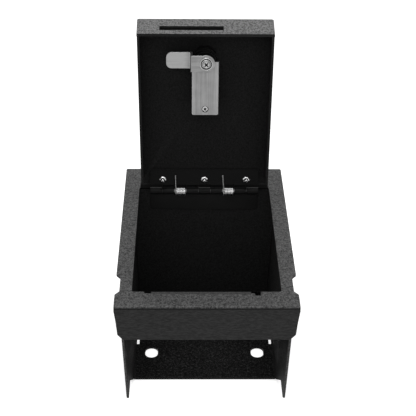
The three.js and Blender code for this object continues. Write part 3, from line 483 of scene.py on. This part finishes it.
def box_pieces():
    top_frame()
    floor_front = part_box("floor_plate")[0].y
    for node in ("side_wall_left", "side_wall_right"):
        cuts = [((0, floor_front, 0), (0, 1, 0))]
        wall = fitted(softened(node, SHEET_EDGE, cuts=cuts), "safe_box", "black_coat", COAT, node)
        middles, directions = faces_of(wall)
        inner = directions[:, 0] * np.sign(middles[:, 0]) < -0.5
        well = middles[:, 1] > floor_front
        # painted shade on the walls' inner faces, a different copy inside the well
        lined(wall, (INNER_SHADE_COAT, inner & ~well), (WELL_SHADE_COAT, inner & well))
    back = fitted(softened("back_wall", SHEET_EDGE), "safe_box", "black_coat", COAT, "back_wall")
    # painted shade on the back wall's face inside the well
    lined(back, (WELL_SHADE_COAT, faces_of(back)[1][:, 1] < -0.5))
    plate = fitted(softened("floor_plate", SHEET_EDGE), "safe_box", "black_coat", COAT, "floor_plate")
    directions = faces_of(plate)[1]
    # painted shade on the floor plate's top and on its forward edge
    lined(plate, (FLOOR_SHADE_COAT, directions[:, 2] > 0.5), (BEND_SHADE_COAT, directions[:, 1] < -0.5))
    leaf = softened("hinge_leaf_body", FINE_EDGE)
    fitted(leaf, "safe_box", "black_steel", HINGE_BLACK, "hinge_leaf_body")
    fitted(softened("hinge_pin", FINE_EDGE), "safe_box", "zinc_plate", DULL_STEEL_AND_SHADE, "hinge_pin")


BEND_LOW = sin(radians(2))
BEND_HIGH = sin(radians(30))
TAB_BEND = 4.5 * MM  # how far in front of the opening the tab's bend starts
TAB_ENDS = (-56.8 * MM, 45.1 * MM)  # the tab's sides, left and right of the middle


def top_frame():
    """The frame's sheet: the coat on top, and on the skirt a darker copy with a finer grain for painted
    shade, with painted shade along the lower half of the bend between the two, behind the hinge, and where
    the tab bends."""
    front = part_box("top_frame")[0].y + OPENING_FRONT
    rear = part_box("back_wall")[0].y
    cuts = [((x, 0, 0), (1, 0, 0)) for x in (-HINGE_SIDE, HINGE_SIDE, *TAB_ENDS)]
    cuts += [((0, front - TAB_BEND, 0), (0, 1, 0)), ((0, rear + SHADE_REACH, 0), (0, 1, 0))]
    sheet = softened("top_frame", SHEET_EDGE, cuts=cuts, whole=False)
    piece = fitted(sheet, "safe_box", "black_coat", COAT, "top_frame")
    middles, directions = faces_of(piece)
    forward = directions[:, 1] < -0.1
    skirt = forward & (directions[:, 2] <= BEND_LOW) & (directions[:, 2] > -0.5)
    bend = forward & (directions[:, 2] > BEND_LOW) & (directions[:, 2] < BEND_HIGH)
    tab = (middles[:, 1] > front - TAB_BEND) & (middles[:, 1] < front + TAB_BEND)
    tab &= (middles[:, 0] > TAB_ENDS[0]) & (middles[:, 0] < TAB_ENDS[1]) & (directions[:, 2] > 0)
    shaded = (middles[:, 1] > rear - STOCK) & (middles[:, 1] < rear + SHADE_REACH)
    shaded &= np.abs(middles[:, 0]) < HINGE_SIDE
    lined(piece, (SKIRT_SHADE_COAT, skirt), (BEND_SHADE_COAT, bend), (TAB_SHADE_COAT, tab), (SHADED_COAT, shaded))


def weld_beads():
    """Weld beads along the box's inner corners: tubes whose radius swells and draws in by a sine along
    the seam, one ripple after another."""
    floor_low, floor_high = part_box("floor_plate")
    wall_low, wall_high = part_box("side_wall_right")
    back_low, back_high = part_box("back_wall")
    foot = floor_high.x + SEAM_GAP / 2
    head = wall_high.x - STOCK - SEAM_GAP / 2
    rear = back_low.y
    base = floor_high.z + SEAM_GAP / 2
    crown = wall_high.z + SEAM_GAP / 2
    front = floor_low.y - BEAD_RADIUS
    seams = [((foot * side, front, base), (foot * side, rear, base), (1, 0, 0)) for side in (-1, 1)]
    seams += [((foot * side, rear, base), (head * side, rear, crown), (1, 0, 0)) for side in (-1, 1)]
    seams += [((head * side, wall_low.y, crown), (head * side, rear, crown), (1, 0, 0)) for side in (-1, 1)]
    seams += [((-foot, rear, base), (foot, rear, base), (0, 0, 1))]
    seams += [((-head, rear, crown), (head, rear, crown), (0, 0, 1))]
    for number, (start, end, across) in enumerate(seams):
        start, end = np.array(start), np.array(end)
        length = np.linalg.norm(end - start)
        share = np.linspace(0, 1, int(length / BEAD_RIPPLE) * BEAD_STEPS)
        radius = BEAD_RADIUS * (1 + BEAD_SWELL * np.sin(2 * pi * length / BEAD_RIPPLE * share))
        points, faces = tube(start + (end - start) * share[:, None], radius, BEAD_SIDES, across)
        piece = closed_up(mesh_object(f"weld_bead_{number + 1}", points, faces))
        # the beads take the painted shade of the inner faces
        fitted(piece, "safe_box", "black_coat", INNER_SHADE_COAT)


def spring_path(left, right, lean):
    """A torsion spring's wire: a leg up the lid's leaf, a quarter turn that draws in from the leg's radius
    to the coil's, turns at a steady pitch round the pin, and a leg that slants back to the body's leaf."""
    start = 1.5 * pi - OPEN_ANGLE
    end = pi + BODY_LEG_SLANT
    sweep = COIL_TURNS * 2 * pi + end - start
    share = np.linspace(0, 1, int(sweep / (2 * pi) * TURN_STEPS))
    angle = start + sweep * share
    radius = LEG_STEP + (COIL_RADIUS - LEG_STEP) * np.clip(sweep * share / (pi / 2), 0, 1)
    coil = np.stack([left + (right - left) * share, radius * np.cos(angle), radius * np.sin(angle)], axis=1)
    along = np.linspace(1, 0, LEG_STEPS, endpoint=False)[:, None] * LID_LEG
    lid_leg = coil[0] + along * np.array([lean / LID_LEG, sin(start), -cos(start)])
    along = np.linspace(0, 1, BODY_LEG_STEPS + 1)[1:, None] * BODY_LEG
    body_leg = coil[-1] + along * np.array([0, sin(BODY_LEG_SLANT), -cos(BODY_LEG_SLANT)])
    return np.concatenate([lid_leg, coil, body_leg])


def springs():
    """Each spring's wire, drawn for the open lid: the coil lies on the pin and its long leg runs up the
    lid's leaf.
    """
    for node in ("torsion_spring_left", "torsion_spring_right"):
        low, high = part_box(node)
        left = low.x + SPRING_WIRE / 2 + COIL_SHIFT[0]
        right = high.x - SPRING_WIRE / 2 + COIL_SHIFT[1]
        seat = np.array([0, HINGE_AXIS.y + COIL_SAG[0], HINGE_AXIS.z + COIL_SAG[1]])
        path = spring_path(left, right, LEG_LEAN[node]) + seat
        points, faces = tube(path, SPRING_WIRE / 2, WIRE_SIDES)
        piece = closed_up(mesh_object(node + "_wire", points, faces))
        piece.data.materials.append(SPRING_STEEL)
        # painted shade on the legs above the coil
        lined(piece, (SPRING_LEG_SHADE, faces_of(piece)[0][:, 2] > HINGE_AXIS.z + LEG_STEP))
        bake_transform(piece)
        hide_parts(node)


# Places on the lid, in the closed lid's axes and measured from the hinge's axis


def open_point(point):
    """Where a point of the closed lid lies when the lid is open."""
    return HINGE_AXIS + LID_TURN @ Vector(point)


def closed_axes(points, is_direction=False):
    """Points or directions of the open lid, turned back to the closed lid's axes."""
    turn = np.array(LID_TURN.inverted())[:3, :3]
    return (points if is_direction else points - np.array(HINGE_AXIS)) @ turn.T


def closed_box(node):
    """Lowest and highest corner of a lid node in the closed lid's axes."""
    data = frame["nodes"][node].data
    points = np.empty(len(data.vertices) * 3)
    data.vertices.foreach_get("co", points)
    points = closed_axes(points.reshape(-1, 3))
    return points.min(0), points.max(0)


# Fasteners

HEAD_STEPS = 30
HEAD_SIDES = 72
WASHER_SIDES = 72
CAM_SCREW = dict(height=1.5 * MM, dome=0.1 * MM, cross=2.6 * MM, width=0.62 * MM, depth=1.5 * MM)
PLATE_SCREW = dict(height=0.0, dome=0.55 * MM, cross=1.7 * MM, width=0.5 * MM, depth=1.1 * MM)
SHADE_RINGS = ((0.78, 0.86), (0.93, 0.98))  # rings of painted shade on the cam screw's head, as shares
CAM_SCREW_TWIST = 0.8
PLATE_SCREW_TWIST = 0.78
SHANK_RADIUS = 1.9 * MM
SINK_DEPTH = 1.2 * MM
SINK_RADIUS = 4 * MM
BORE_GAP = 0.3 * MM
GROOVE_STEPS = (1.5 * MM, 1.65 * MM, 2.05 * MM, 2.2 * MM)  # groove's edges, in from the washer's rim
WASHER_RIM = 0.25 * MM
NUT_ACROSS = 7 * MM
NUT_HEIGHT = 3 * MM
STUD_HEIGHT = 5.0 * MM
STUD_RADIUS = 1.9 * MM
STUD_SIDES = 40
THREAD_PITCH = 0.8 * MM
THREAD_STEPS = 60
MARK_DEPTH = 0.7 * MM
MARK_POINT = 0.9 * MM
NUT_CHAMFER = 0.9 * MM


def screw_head(name, radius, shape, rim):
    """A screw's head with a cross recess: the top is a disc of rings and spokes whose height is a shallow
    dome, less the recess, which falls off smoothly outside the two crossed bars. The rim's radii and
    heights carry the surface on to the shank, and the recess's faces take a material of painted shade."""
    ring = np.linspace(0, 1, HEAD_STEPS)[:, None] * radius
    angle = np.linspace(0, 2 * pi, HEAD_SIDES, endpoint=False)[None, :]
    x, y = ring * np.cos(angle), ring * np.sin(angle)
    cross, width = shape["cross"], shape["width"]
    bar_x = np.maximum(np.abs(x) - cross, np.abs(y) - width)
    bar_y = np.maximum(np.abs(y) - cross, np.abs(x) - width)
    inside = np.clip(0.5 - np.minimum(bar_x, bar_y) / (width * 0.5), 0, 1)
    taper = np.clip(1 - np.hypot(x, y) / (cross * 1.6), 0, 1)
    dome = shape["dome"] * (1 - (ring / radius) ** 2)
    z = shape["height"] + dome - shape["depth"] * inside * (0.35 + 0.65 * taper)
    top = np.stack([x, y, z], axis=-1)
    round_x, round_y = np.cos(angle[0]), np.sin(angle[0])
    below = [np.stack([r * round_x, r * round_y, h + 0 * round_x], axis=1) for r, h in rim]
    points = np.concatenate([top, np.stack(below)])
    piece = mesh_object(name, points, grid_faces(len(points), HEAD_SIDES, True))
    marks = np.zeros((len(points) - 1, HEAD_SIDES), np.int32)
    marks[: HEAD_STEPS - 1] = inside[:-1] > 0.6
    piece.data.polygons.foreach_set("material_index", marks.ravel())
    return piece


def cam_screw():
    low, high = closed_box("cam_screw")
    radius = (high[0] - low[0]) / 2
    height = CAM_SCREW["height"]
    edge = height * 0.5
    bend = np.linspace(0.3, pi / 2, 5)
    rim = [(radius - edge * (1 - sin(a)), height - edge * (1 - cos(a))) for a in bend]
    rim += [(radius, 0.0), (SHANK_RADIUS, 0.0), (SHANK_RADIUS, -height), (0.0, -height)]
    piece = screw_head("cam_screw_head", radius - edge, CAM_SCREW, rim)
    marks = np.empty(len(piece.data.polygons), np.int32)
    piece.data.polygons.foreach_get("material_index", marks)
    share = np.arange(len(marks)) // HEAD_SIDES / (HEAD_STEPS - 1)
    # painted shade on two rings of the head, and on its rim and underside
    for inner, outer in SHADE_RINGS:
        marks[(share > inner) & (share < outer)] = 2
    marks[share >= 1] = 2
    piece.data.polygons.foreach_set("material_index", marks)
    middle = (low + high) / 2
    seat = (middle[0], middle[1], low[2] + height + CAM_SCREW["dome"])
    place_screw(piece, seat, CAM_SCREW_TWIST)
    fitted(piece, "lock_turn", "zinc_plate", BRIGHT_STEEL, "cam_screw")
    piece.data.materials.append(RECESS_SHADE)
    piece.data.materials.append(DULL_STEEL_AND_SHADE)


def plate_screw():
    low, high = closed_box("lock_plate_screw")
    radius = (high[0] - low[0]) / 2
    rim = [(radius + 0.05 * MM, -0.1 * MM), (radius, -0.35 * MM), (SHANK_RADIUS, -SINK_DEPTH)]
    rim += [(SHANK_RADIUS, low[2] - high[2]), (0.0, low[2] - high[2])]
    piece = screw_head("lock_plate_screw_head", radius, PLATE_SCREW, rim)
    middle = (low + high) / 2
    seat = (middle[0], middle[1], low[2] + PLATE_SCREW["dome"])
    place_screw(piece, seat, PLATE_SCREW_TWIST)
    fitted(piece, "lid", "zinc_plate", BRIGHT_STEEL, "lock_plate_screw")
    piece.data.materials.append(RECESS_SHADE)


def place_screw(piece, seat, twist):
    """A screw on the lid's inner face has its head down in the closed lid, so it is turned upside down."""
    turn = LID_TURN @ Matrix.Rotation(pi, 4, "X") @ Matrix.Rotation(twist, 4, "Z")
    closed_up(piece, turn, open_point(seat))


def washer_rings():
    """The washer under the cam's screw: a turned ring whose face is a band, a groove and a second band,
    from radii and heights along its section. The groove's faces carry painted shade."""
    low, high = closed_box("cam_washer")
    radius = (high[0] - low[0]) / 2
    thick = high[2] - low[2]
    bore = SHANK_RADIUS + BORE_GAP
    groove = [radius - step for step in GROOVE_STEPS]
    section = [(bore, 0.0), (radius, 0.0), (radius, 0.8), (radius - WASHER_RIM, 1.0), (groove[0], 1.0)]
    section += [(groove[1], 0.35), (groove[2], 0.35), (groove[3], 1.0), (bore, 1.0), (bore, 0.0)]
    angle = np.linspace(0, 2 * pi, WASHER_SIDES, endpoint=False)
    ring = np.array(section)
    across, height = ring[:, :1], ring[:, 1:] * thick
    points = np.stack([across * np.cos(angle), across * np.sin(angle), height + 0 * angle], axis=-1)
    piece = mesh_object("cam_washer_rings", points, grid_faces(len(section), WASHER_SIDES, True))
    marks = np.zeros((len(section) - 1, WASHER_SIDES), np.int32)
    marks[4:7] = 1
    piece.data.polygons.foreach_set("material_index", marks.ravel())
    middle = (low + high) / 2
    place_screw(piece, (middle[0], middle[1], high[2]), 0.0)
    fitted(piece, "lock_turn", "zinc_plate", WASHER_STEEL, "cam_washer")
    piece.data.materials.append(RECESS_SHADE)


def nut_body(name):
    """A hexagon nut, open round its stud: each ring's radius runs from a circle at the nut's rounded
    corners to a hexagon at its flats, over a wide chamfer, in over its face and down its bore."""
    sides = HEAD_SIDES
    angle = np.linspace(0, 2 * pi, sides, endpoint=False)
    folded = (angle + pi / 6) % (pi / 3) - pi / 6
    hexagon = NUT_ACROSS / 2 / np.cos(folded)
    base = np.minimum(hexagon, NUT_ACROSS * 0.55)
    bore = np.full(sides, STUD_RADIUS * 0.98)
    crown = np.full(sides, NUT_ACROSS / 2 - NUT_CHAMFER)
    rows = [(bore, 0.0), (base, 0.0), (hexagon, 0.1), (hexagon, 0.78), (hexagon * 0.98, 0.82)]
    rows += [(crown, 0.99), (crown * 0.97, 1.0), (crown * 0.93, 0.9), (bore, 0.6), (bore, 0.0)]
    radius = np.array([r for r, _ in rows])
    z = np.array([h for _, h in rows])[:, None] * NUT_HEIGHT + 0 * radius
    points = np.stack([radius * np.cos(angle), radius * np.sin(angle), z], axis=-1)
    piece = mesh_object(name, points, grid_faces(len(rows), sides, True))
    marks = np.zeros((len(rows) - 1, sides), np.int32)
    # painted shade in the nut's mouth, down to the stud
    marks[-3:] = 1
    piece.data.polygons.foreach_set("material_index", marks.ravel())
    return piece


def stud_end(name):
    """The threaded stud's end: rings whose radius follows the thread's ridges, closed by a dome with a
    centre mark drilled in it."""
    sides = STUD_SIDES
    angle = np.linspace(0, 2 * pi, sides, endpoint=False)
    height = np.linspace(0, STUD_HEIGHT, THREAD_STEPS)
    thread = STUD_RADIUS * (0.94 + 0.05 * np.cos(2 * pi * height / THREAD_PITCH))
    dome = np.linspace(0, 1.15, 9)[1:]
    top = STUD_HEIGHT + STUD_RADIUS * 0.95 * np.sin(dome)
    radius = np.concatenate([[0.0], thread, thread[-1] * np.cos(dome), [STUD_RADIUS * 0.3, 0.0]])
    z = np.concatenate([[0.0], height, top, [top[-1] - MARK_DEPTH, top[-1] - MARK_POINT]])
    points = np.stack(
        [radius[:, None] * np.cos(angle), radius[:, None] * np.sin(angle), z[:, None] + 0 * angle], axis=-1
    )
    piece = mesh_object(name, points, grid_faces(len(radius), sides, True))
    marks = np.zeros((len(radius) - 1, sides), np.int32)
    # painted shade in the centre mark
    marks[-2:] = 1
    piece.data.polygons.foreach_set("material_index", marks.ravel())
    return piece


def leaf_nuts():
    for i, node in enumerate(("left_leaf_nut", "middle_leaf_nut", "right_leaf_nut")):
        low, high = closed_box(node)
        middle = (low + high) / 2
        seat = (middle[0], middle[1], low[2] + STUD_HEIGHT + STUD_RADIUS)
        hexagon = nut_body(node + "_hex")
        place_screw(hexagon, seat, 0.35 + 0.5 * i)
        fitted(hexagon, "lid", "zinc_plate", NUT_STEEL, node)
        hexagon.data.materials.append(NUT_MOUTH_SHADE)
        stud = stud_end(node + "_stud")
        place_screw(stud, seat, 0.0)
        fitted(stud, "lid", "zinc_plate", NUT_STEEL)
        stud.data.materials.append(RECESS_SHADE)


# The lid and its lock

LOOK_IN = 4 * MM  # how far in front of a face its hollow is felt for
FLANGE_SLANT = radians(23.9)
# painted highlights on the rounded edges of these pieces
EDGE_HIGHLIGHTS = {"lock_body": CASTING_EDGE_HIGHLIGHT, "lock_plate": PLATE_EDGE_HIGHLIGHT}


def looks_into_pan(piece):
    """Which faces of the lid pan look into its hollow: those from which a short step along the face's
    direction ends under the panel, between the side flanges and behind the slanted front flange."""
    low, high = closed_box("lid_pan")
    middles, directions = faces_of(piece)
    ahead = closed_axes(middles) + closed_axes(directions, True) * LOOK_IN
    depth = high[2] - ahead[:, 2]
    front = low[1] + depth * tan(FLANGE_SLANT) + STOCK / cos(FLANGE_SLANT)
    beside = high[0] - STOCK - np.abs(ahead[:, 0])
    return (depth > STOCK) & (ahead[:, 2] > low[2]) & (beside > 0) & (ahead[:, 1] > front)


def lid_pieces():
    """The lid's pan in its coat and three painted copies of it: painted light on the front flange, painted
    shade on its forward-facing rim and on the faces inside the pan. Each metal or cast piece takes its own
    finish. The pan is cut round the dial housing, so that the faces at its holes stay under the housing."""
    low, high = closed_box("dial_housing")
    cuts = [((x, 0, 0), (1, 0, 0)) for x in (low[0] + STOCK, high[0] - STOCK)]
    along = LID_TURN.to_3x3() @ Vector((0, 1, 0))
    cuts += [(open_point((0, y, 0)), along) for y in (low[1] + STOCK, high[1] - STOCK)]
    pan = fitted(softened("lid_pan", SHEET_EDGE, cuts=cuts), "lid", "black_coat", COAT, "lid_pan")
    inner = looks_into_pan(pan)
    directions = faces_of(pan)[1]
    # painted shade on the forward-facing rim and inside the pan, painted light on the front flange
    rim = ~inner & (directions[:, 1] < -0.7)
    flange = ~inner & (closed_axes(directions, True)[:, 1] < -0.5)
    lined(pan, (FLANGE_LIT_COAT, flange), (BEND_SHADE_COAT, rim), (INNER_SHADE_COAT, inner))
    finishes = [
        ("hinge_leaf_lid", FINE_EDGE, "lid", "black_steel", HINGE_BLACK),
        ("lock_body", CASTING_EDGE, "lid", "dark_casting", CASTING_BLACK),
        ("lock_plate", PLATE_EDGE, "lid", "zinc_plate", PLATE_STEEL),
        ("dial_housing", PLATE_EDGE, "lid", "dark_casting", CASTING_BLACK),
        ("dial_axle", FINE_EDGE, "lid", "zinc_plate", BRIGHT_STEEL),
        ("lock_spindle", FINE_EDGE, "lock_turn", "zinc_plate", BRIGHT_STEEL),
        ("lock_cam", PLATE_EDGE, "lock_turn", "zinc_plate", CAM_STEEL),
        ("lock_knob", PLATE_EDGE, "lock_turn", "zinc_plate", BRIGHT_STEEL),
    ]
    for node, edge, body, slot, material in finishes:
        piece = fitted(softened(node, edge), body, slot, material, node)
        if node in EDGE_HIGHLIGHTS:
            rimmed(piece, EDGE_HIGHLIGHTS[node])
    screw_low, screw_high = closed_box("lock_plate_screw")
    plate = bpy.data.objects["lock_plate_finish"]
    middles = closed_axes(faces_of(plate)[0])
    off = np.hypot(*(middles - (screw_low + screw_high) / 2)[:, :2].T)
    # painted shade in the countersink round the plate's screw
    plate.data.materials.append(RECESS_SHADE)
    plate.data.polygons.foreach_set("material_index", np.where(off < SINK_RADIUS, 2, 0).astype(np.int32))
    washer_rings()
    cam_screw()
    plate_screw()


NUMERAL_HEIGHT = 3.6 * MM
NUMERAL_DEPTH = 0.15 * MM
WHEEL_FLATS = 10


def numeral(digit):
    """One digit as a flat raised mesh, centred on its own middle, read along +X with its face to +Z."""
    curve = bpy.data.curves.new("digit", "FONT")
    curve.body = str(digit)
    curve.size = NUMERAL_HEIGHT * 1.35
    curve.extrude = NUMERAL_DEPTH
    curve.align_x = "CENTER"
    curve.align_y = "CENTER"
    curve.resolution_u = 3
    text = bpy.data.objects.new("digit", curve)
    bpy.context.scene.collection.objects.link(text)
    bpy.context.view_layer.update()
    mesh = bpy.data.meshes.new_from_object(text.evaluated_get(bpy.context.evaluated_depsgraph_get()))
    bpy.data.objects.remove(text)
    return mesh


def dial_wheels():
    digits = [numeral(n) for n in range(WHEEL_FLATS)]
    for number in range(1, 5):
        node = f"dial_wheel_{number}"
        body = f"dial_{number}"
        low, high = closed_box(node)
        middle = (low + high) / 2
        flat = (high[0] - low[0]) / 2
        wheel = softened(node, FINE_EDGE)
        place = Matrix.Translation(open_point(middle)) @ LID_TURN
        wheel.data.transform(place @ Matrix.Rotation(pi / WHEEL_FLATS, 4, "Y") @ place.inverted())
        fitted(wheel, body, "dark_casting", CASTING_BLACK, node)
        work = bmesh.new()
        for n, mesh in enumerate(digits):
            copy = mesh.copy()
            step = 2 * pi * (n + number * 3) / WHEEL_FLATS
            turn = Matrix.Rotation(step, 4, "Y") @ Matrix.Translation((0, 0, flat + NUMERAL_DEPTH * 0.2))
            copy.transform(place @ turn @ Matrix.Rotation(pi / 2, 4, "Z"))
            work.from_mesh(copy)
            bpy.data.meshes.remove(copy)
        joined = bpy.data.meshes.new(node + "_numerals")
        work.to_mesh(joined)
        work.free()
        piece = bpy.data.objects.new(node + "_numerals", joined)
        bpy.context.scene.collection.objects.link(piece)
        fitted(piece, body, "dark_casting", NUMERALS)


# Camera, lamps, floor

FLOOR_SPAN = 6.0
FLOOR_COLOUR = 0.8
FLOOR_LIFT = 0.6  # white that the camera sees on the floor, over what lights it
SKY_LEVEL = 0.35
STUDIO_MIDDLE = (0, 0, 0.15)


def camera():
    view = bpy.data.cameras.new("camera")
    view.sensor_width = SENSOR
    view.lens = FOCAL_PIXELS / IMAGE_SIDE * SENSOR
    view.clip_end = 20
    seen = bpy.data.objects.new("camera", view)
    bpy.context.scene.collection.objects.link(seen)
    turn = (
        Matrix.Rotation(-CAMERA_YAW, 4, "Z")
        @ Matrix.Rotation(pi / 2 - CAMERA_PITCH, 4, "X")
        @ Matrix.Rotation(CAMERA_ROLL, 4, "Z")
    )
    seen.matrix_world = Matrix.Translation(CAMERA_PLACE) @ turn
    bpy.context.scene.camera = seen


def softbox(name, place, target, width, depth, power):
    lamp = bpy.data.lights.new(name, "AREA")
    lamp.shape = "RECTANGLE"
    lamp.size = width
    lamp.size_y = depth
    lamp.energy = power
    lit = bpy.data.objects.new(name, lamp)
    bpy.context.scene.collection.objects.link(lit)
    away = Vector(place) - Vector(target)
    lit.matrix_world = Matrix.Translation(Vector(place)) @ away.to_track_quat("Z", "Y").to_matrix().to_4x4()


def seen_rays(tree):
    """1 for the rays that show a background: the camera's, glossy and transmitted ones."""
    path = tree.nodes.new("ShaderNodeLightPath")
    seen = path.outputs["Is Camera Ray"]
    for ray in ("Is Glossy Ray", "Is Transmission Ray"):
        either = tree.nodes.new("ShaderNodeMath")
        either.operation = "MAXIMUM"
        tree.links.new(seen, either.inputs[0])
        tree.links.new(path.outputs[ray], either.inputs[1])
        seen = either.outputs[0]
    return seen


def sky():
    """A world of even light, which is plain white where it is seen."""
    world = bpy.data.worlds.new("studio")
    bpy.context.scene.world = world
    world.use_nodes = True
    tree = world.node_tree
    lit = tree.nodes["Background"]
    lit.inputs["Color"].default_value = (*grey(1.0), 1)
    lit.inputs["Strength"].default_value = SKY_LEVEL
    white = tree.nodes.new("ShaderNodeBackground")
    white.inputs["Color"].default_value = (*grey(1.0), 1)
    white.inputs["Strength"].default_value = 1.0
    mix = tree.nodes.new("ShaderNodeMixShader")
    tree.links.new(seen_rays(tree), mix.inputs["Fac"])
    tree.links.new(lit.outputs[0], mix.inputs[1])
    tree.links.new(white.outputs[0], mix.inputs[2])
    tree.links.new(mix.outputs[0], tree.nodes["World Output"].inputs["Surface"])


def floor():
    """A pale floor that is lifted to white where it is seen, and keeps the shadow under the object."""
    corners = np.array([[-1, -1, 0], [1, -1, 0], [1, 1, 0], [-1, 1, 0]]) * FLOOR_SPAN
    piece = mesh_object("floor", corners, [[0, 1, 2, 3]], smooth=False)
    material = bpy.data.materials.new("floor")
    material.use_nodes = True
    tree = material.node_tree
    shader = tree.nodes["Principled BSDF"]
    shader.inputs["Base Color"].default_value = (*grey(FLOOR_COLOUR), 1)
    shader.inputs["Roughness"].default_value = 0.9
    lift = tree.nodes.new("ShaderNodeMath")
    lift.operation = "MULTIPLY"
    lift.inputs[1].default_value = FLOOR_LIFT
    tree.links.new(seen_rays(tree), lift.inputs[0])
    white = tree.nodes.new("ShaderNodeEmission")
    tree.links.new(lift.outputs[0], white.inputs["Strength"])
    both = tree.nodes.new("ShaderNodeAddShader")
    tree.links.new(shader.outputs[0], both.inputs[0])
    tree.links.new(white.outputs[0], both.inputs[1])
    tree.links.new(both.outputs[0], tree.nodes["Material Output"].inputs["Surface"])
    piece.data.materials.append(material)


def lamps():
    softbox("overhead", (0, 0.25, 1.95), (0, 0.05, 0.3), 1.3, 0.8, 26)
    softbox("front_fill", (-0.2, -1.4, 1.6), STUDIO_MIDDLE, 1.2, 0.8, 4)


bpy.context.scene.view_settings.view_transform = "Standard"
camera()
sky()
floor()
lamps()
box_pieces()
weld_beads()
springs()
lid_pieces()
leaf_nuts()
dial_wheels()
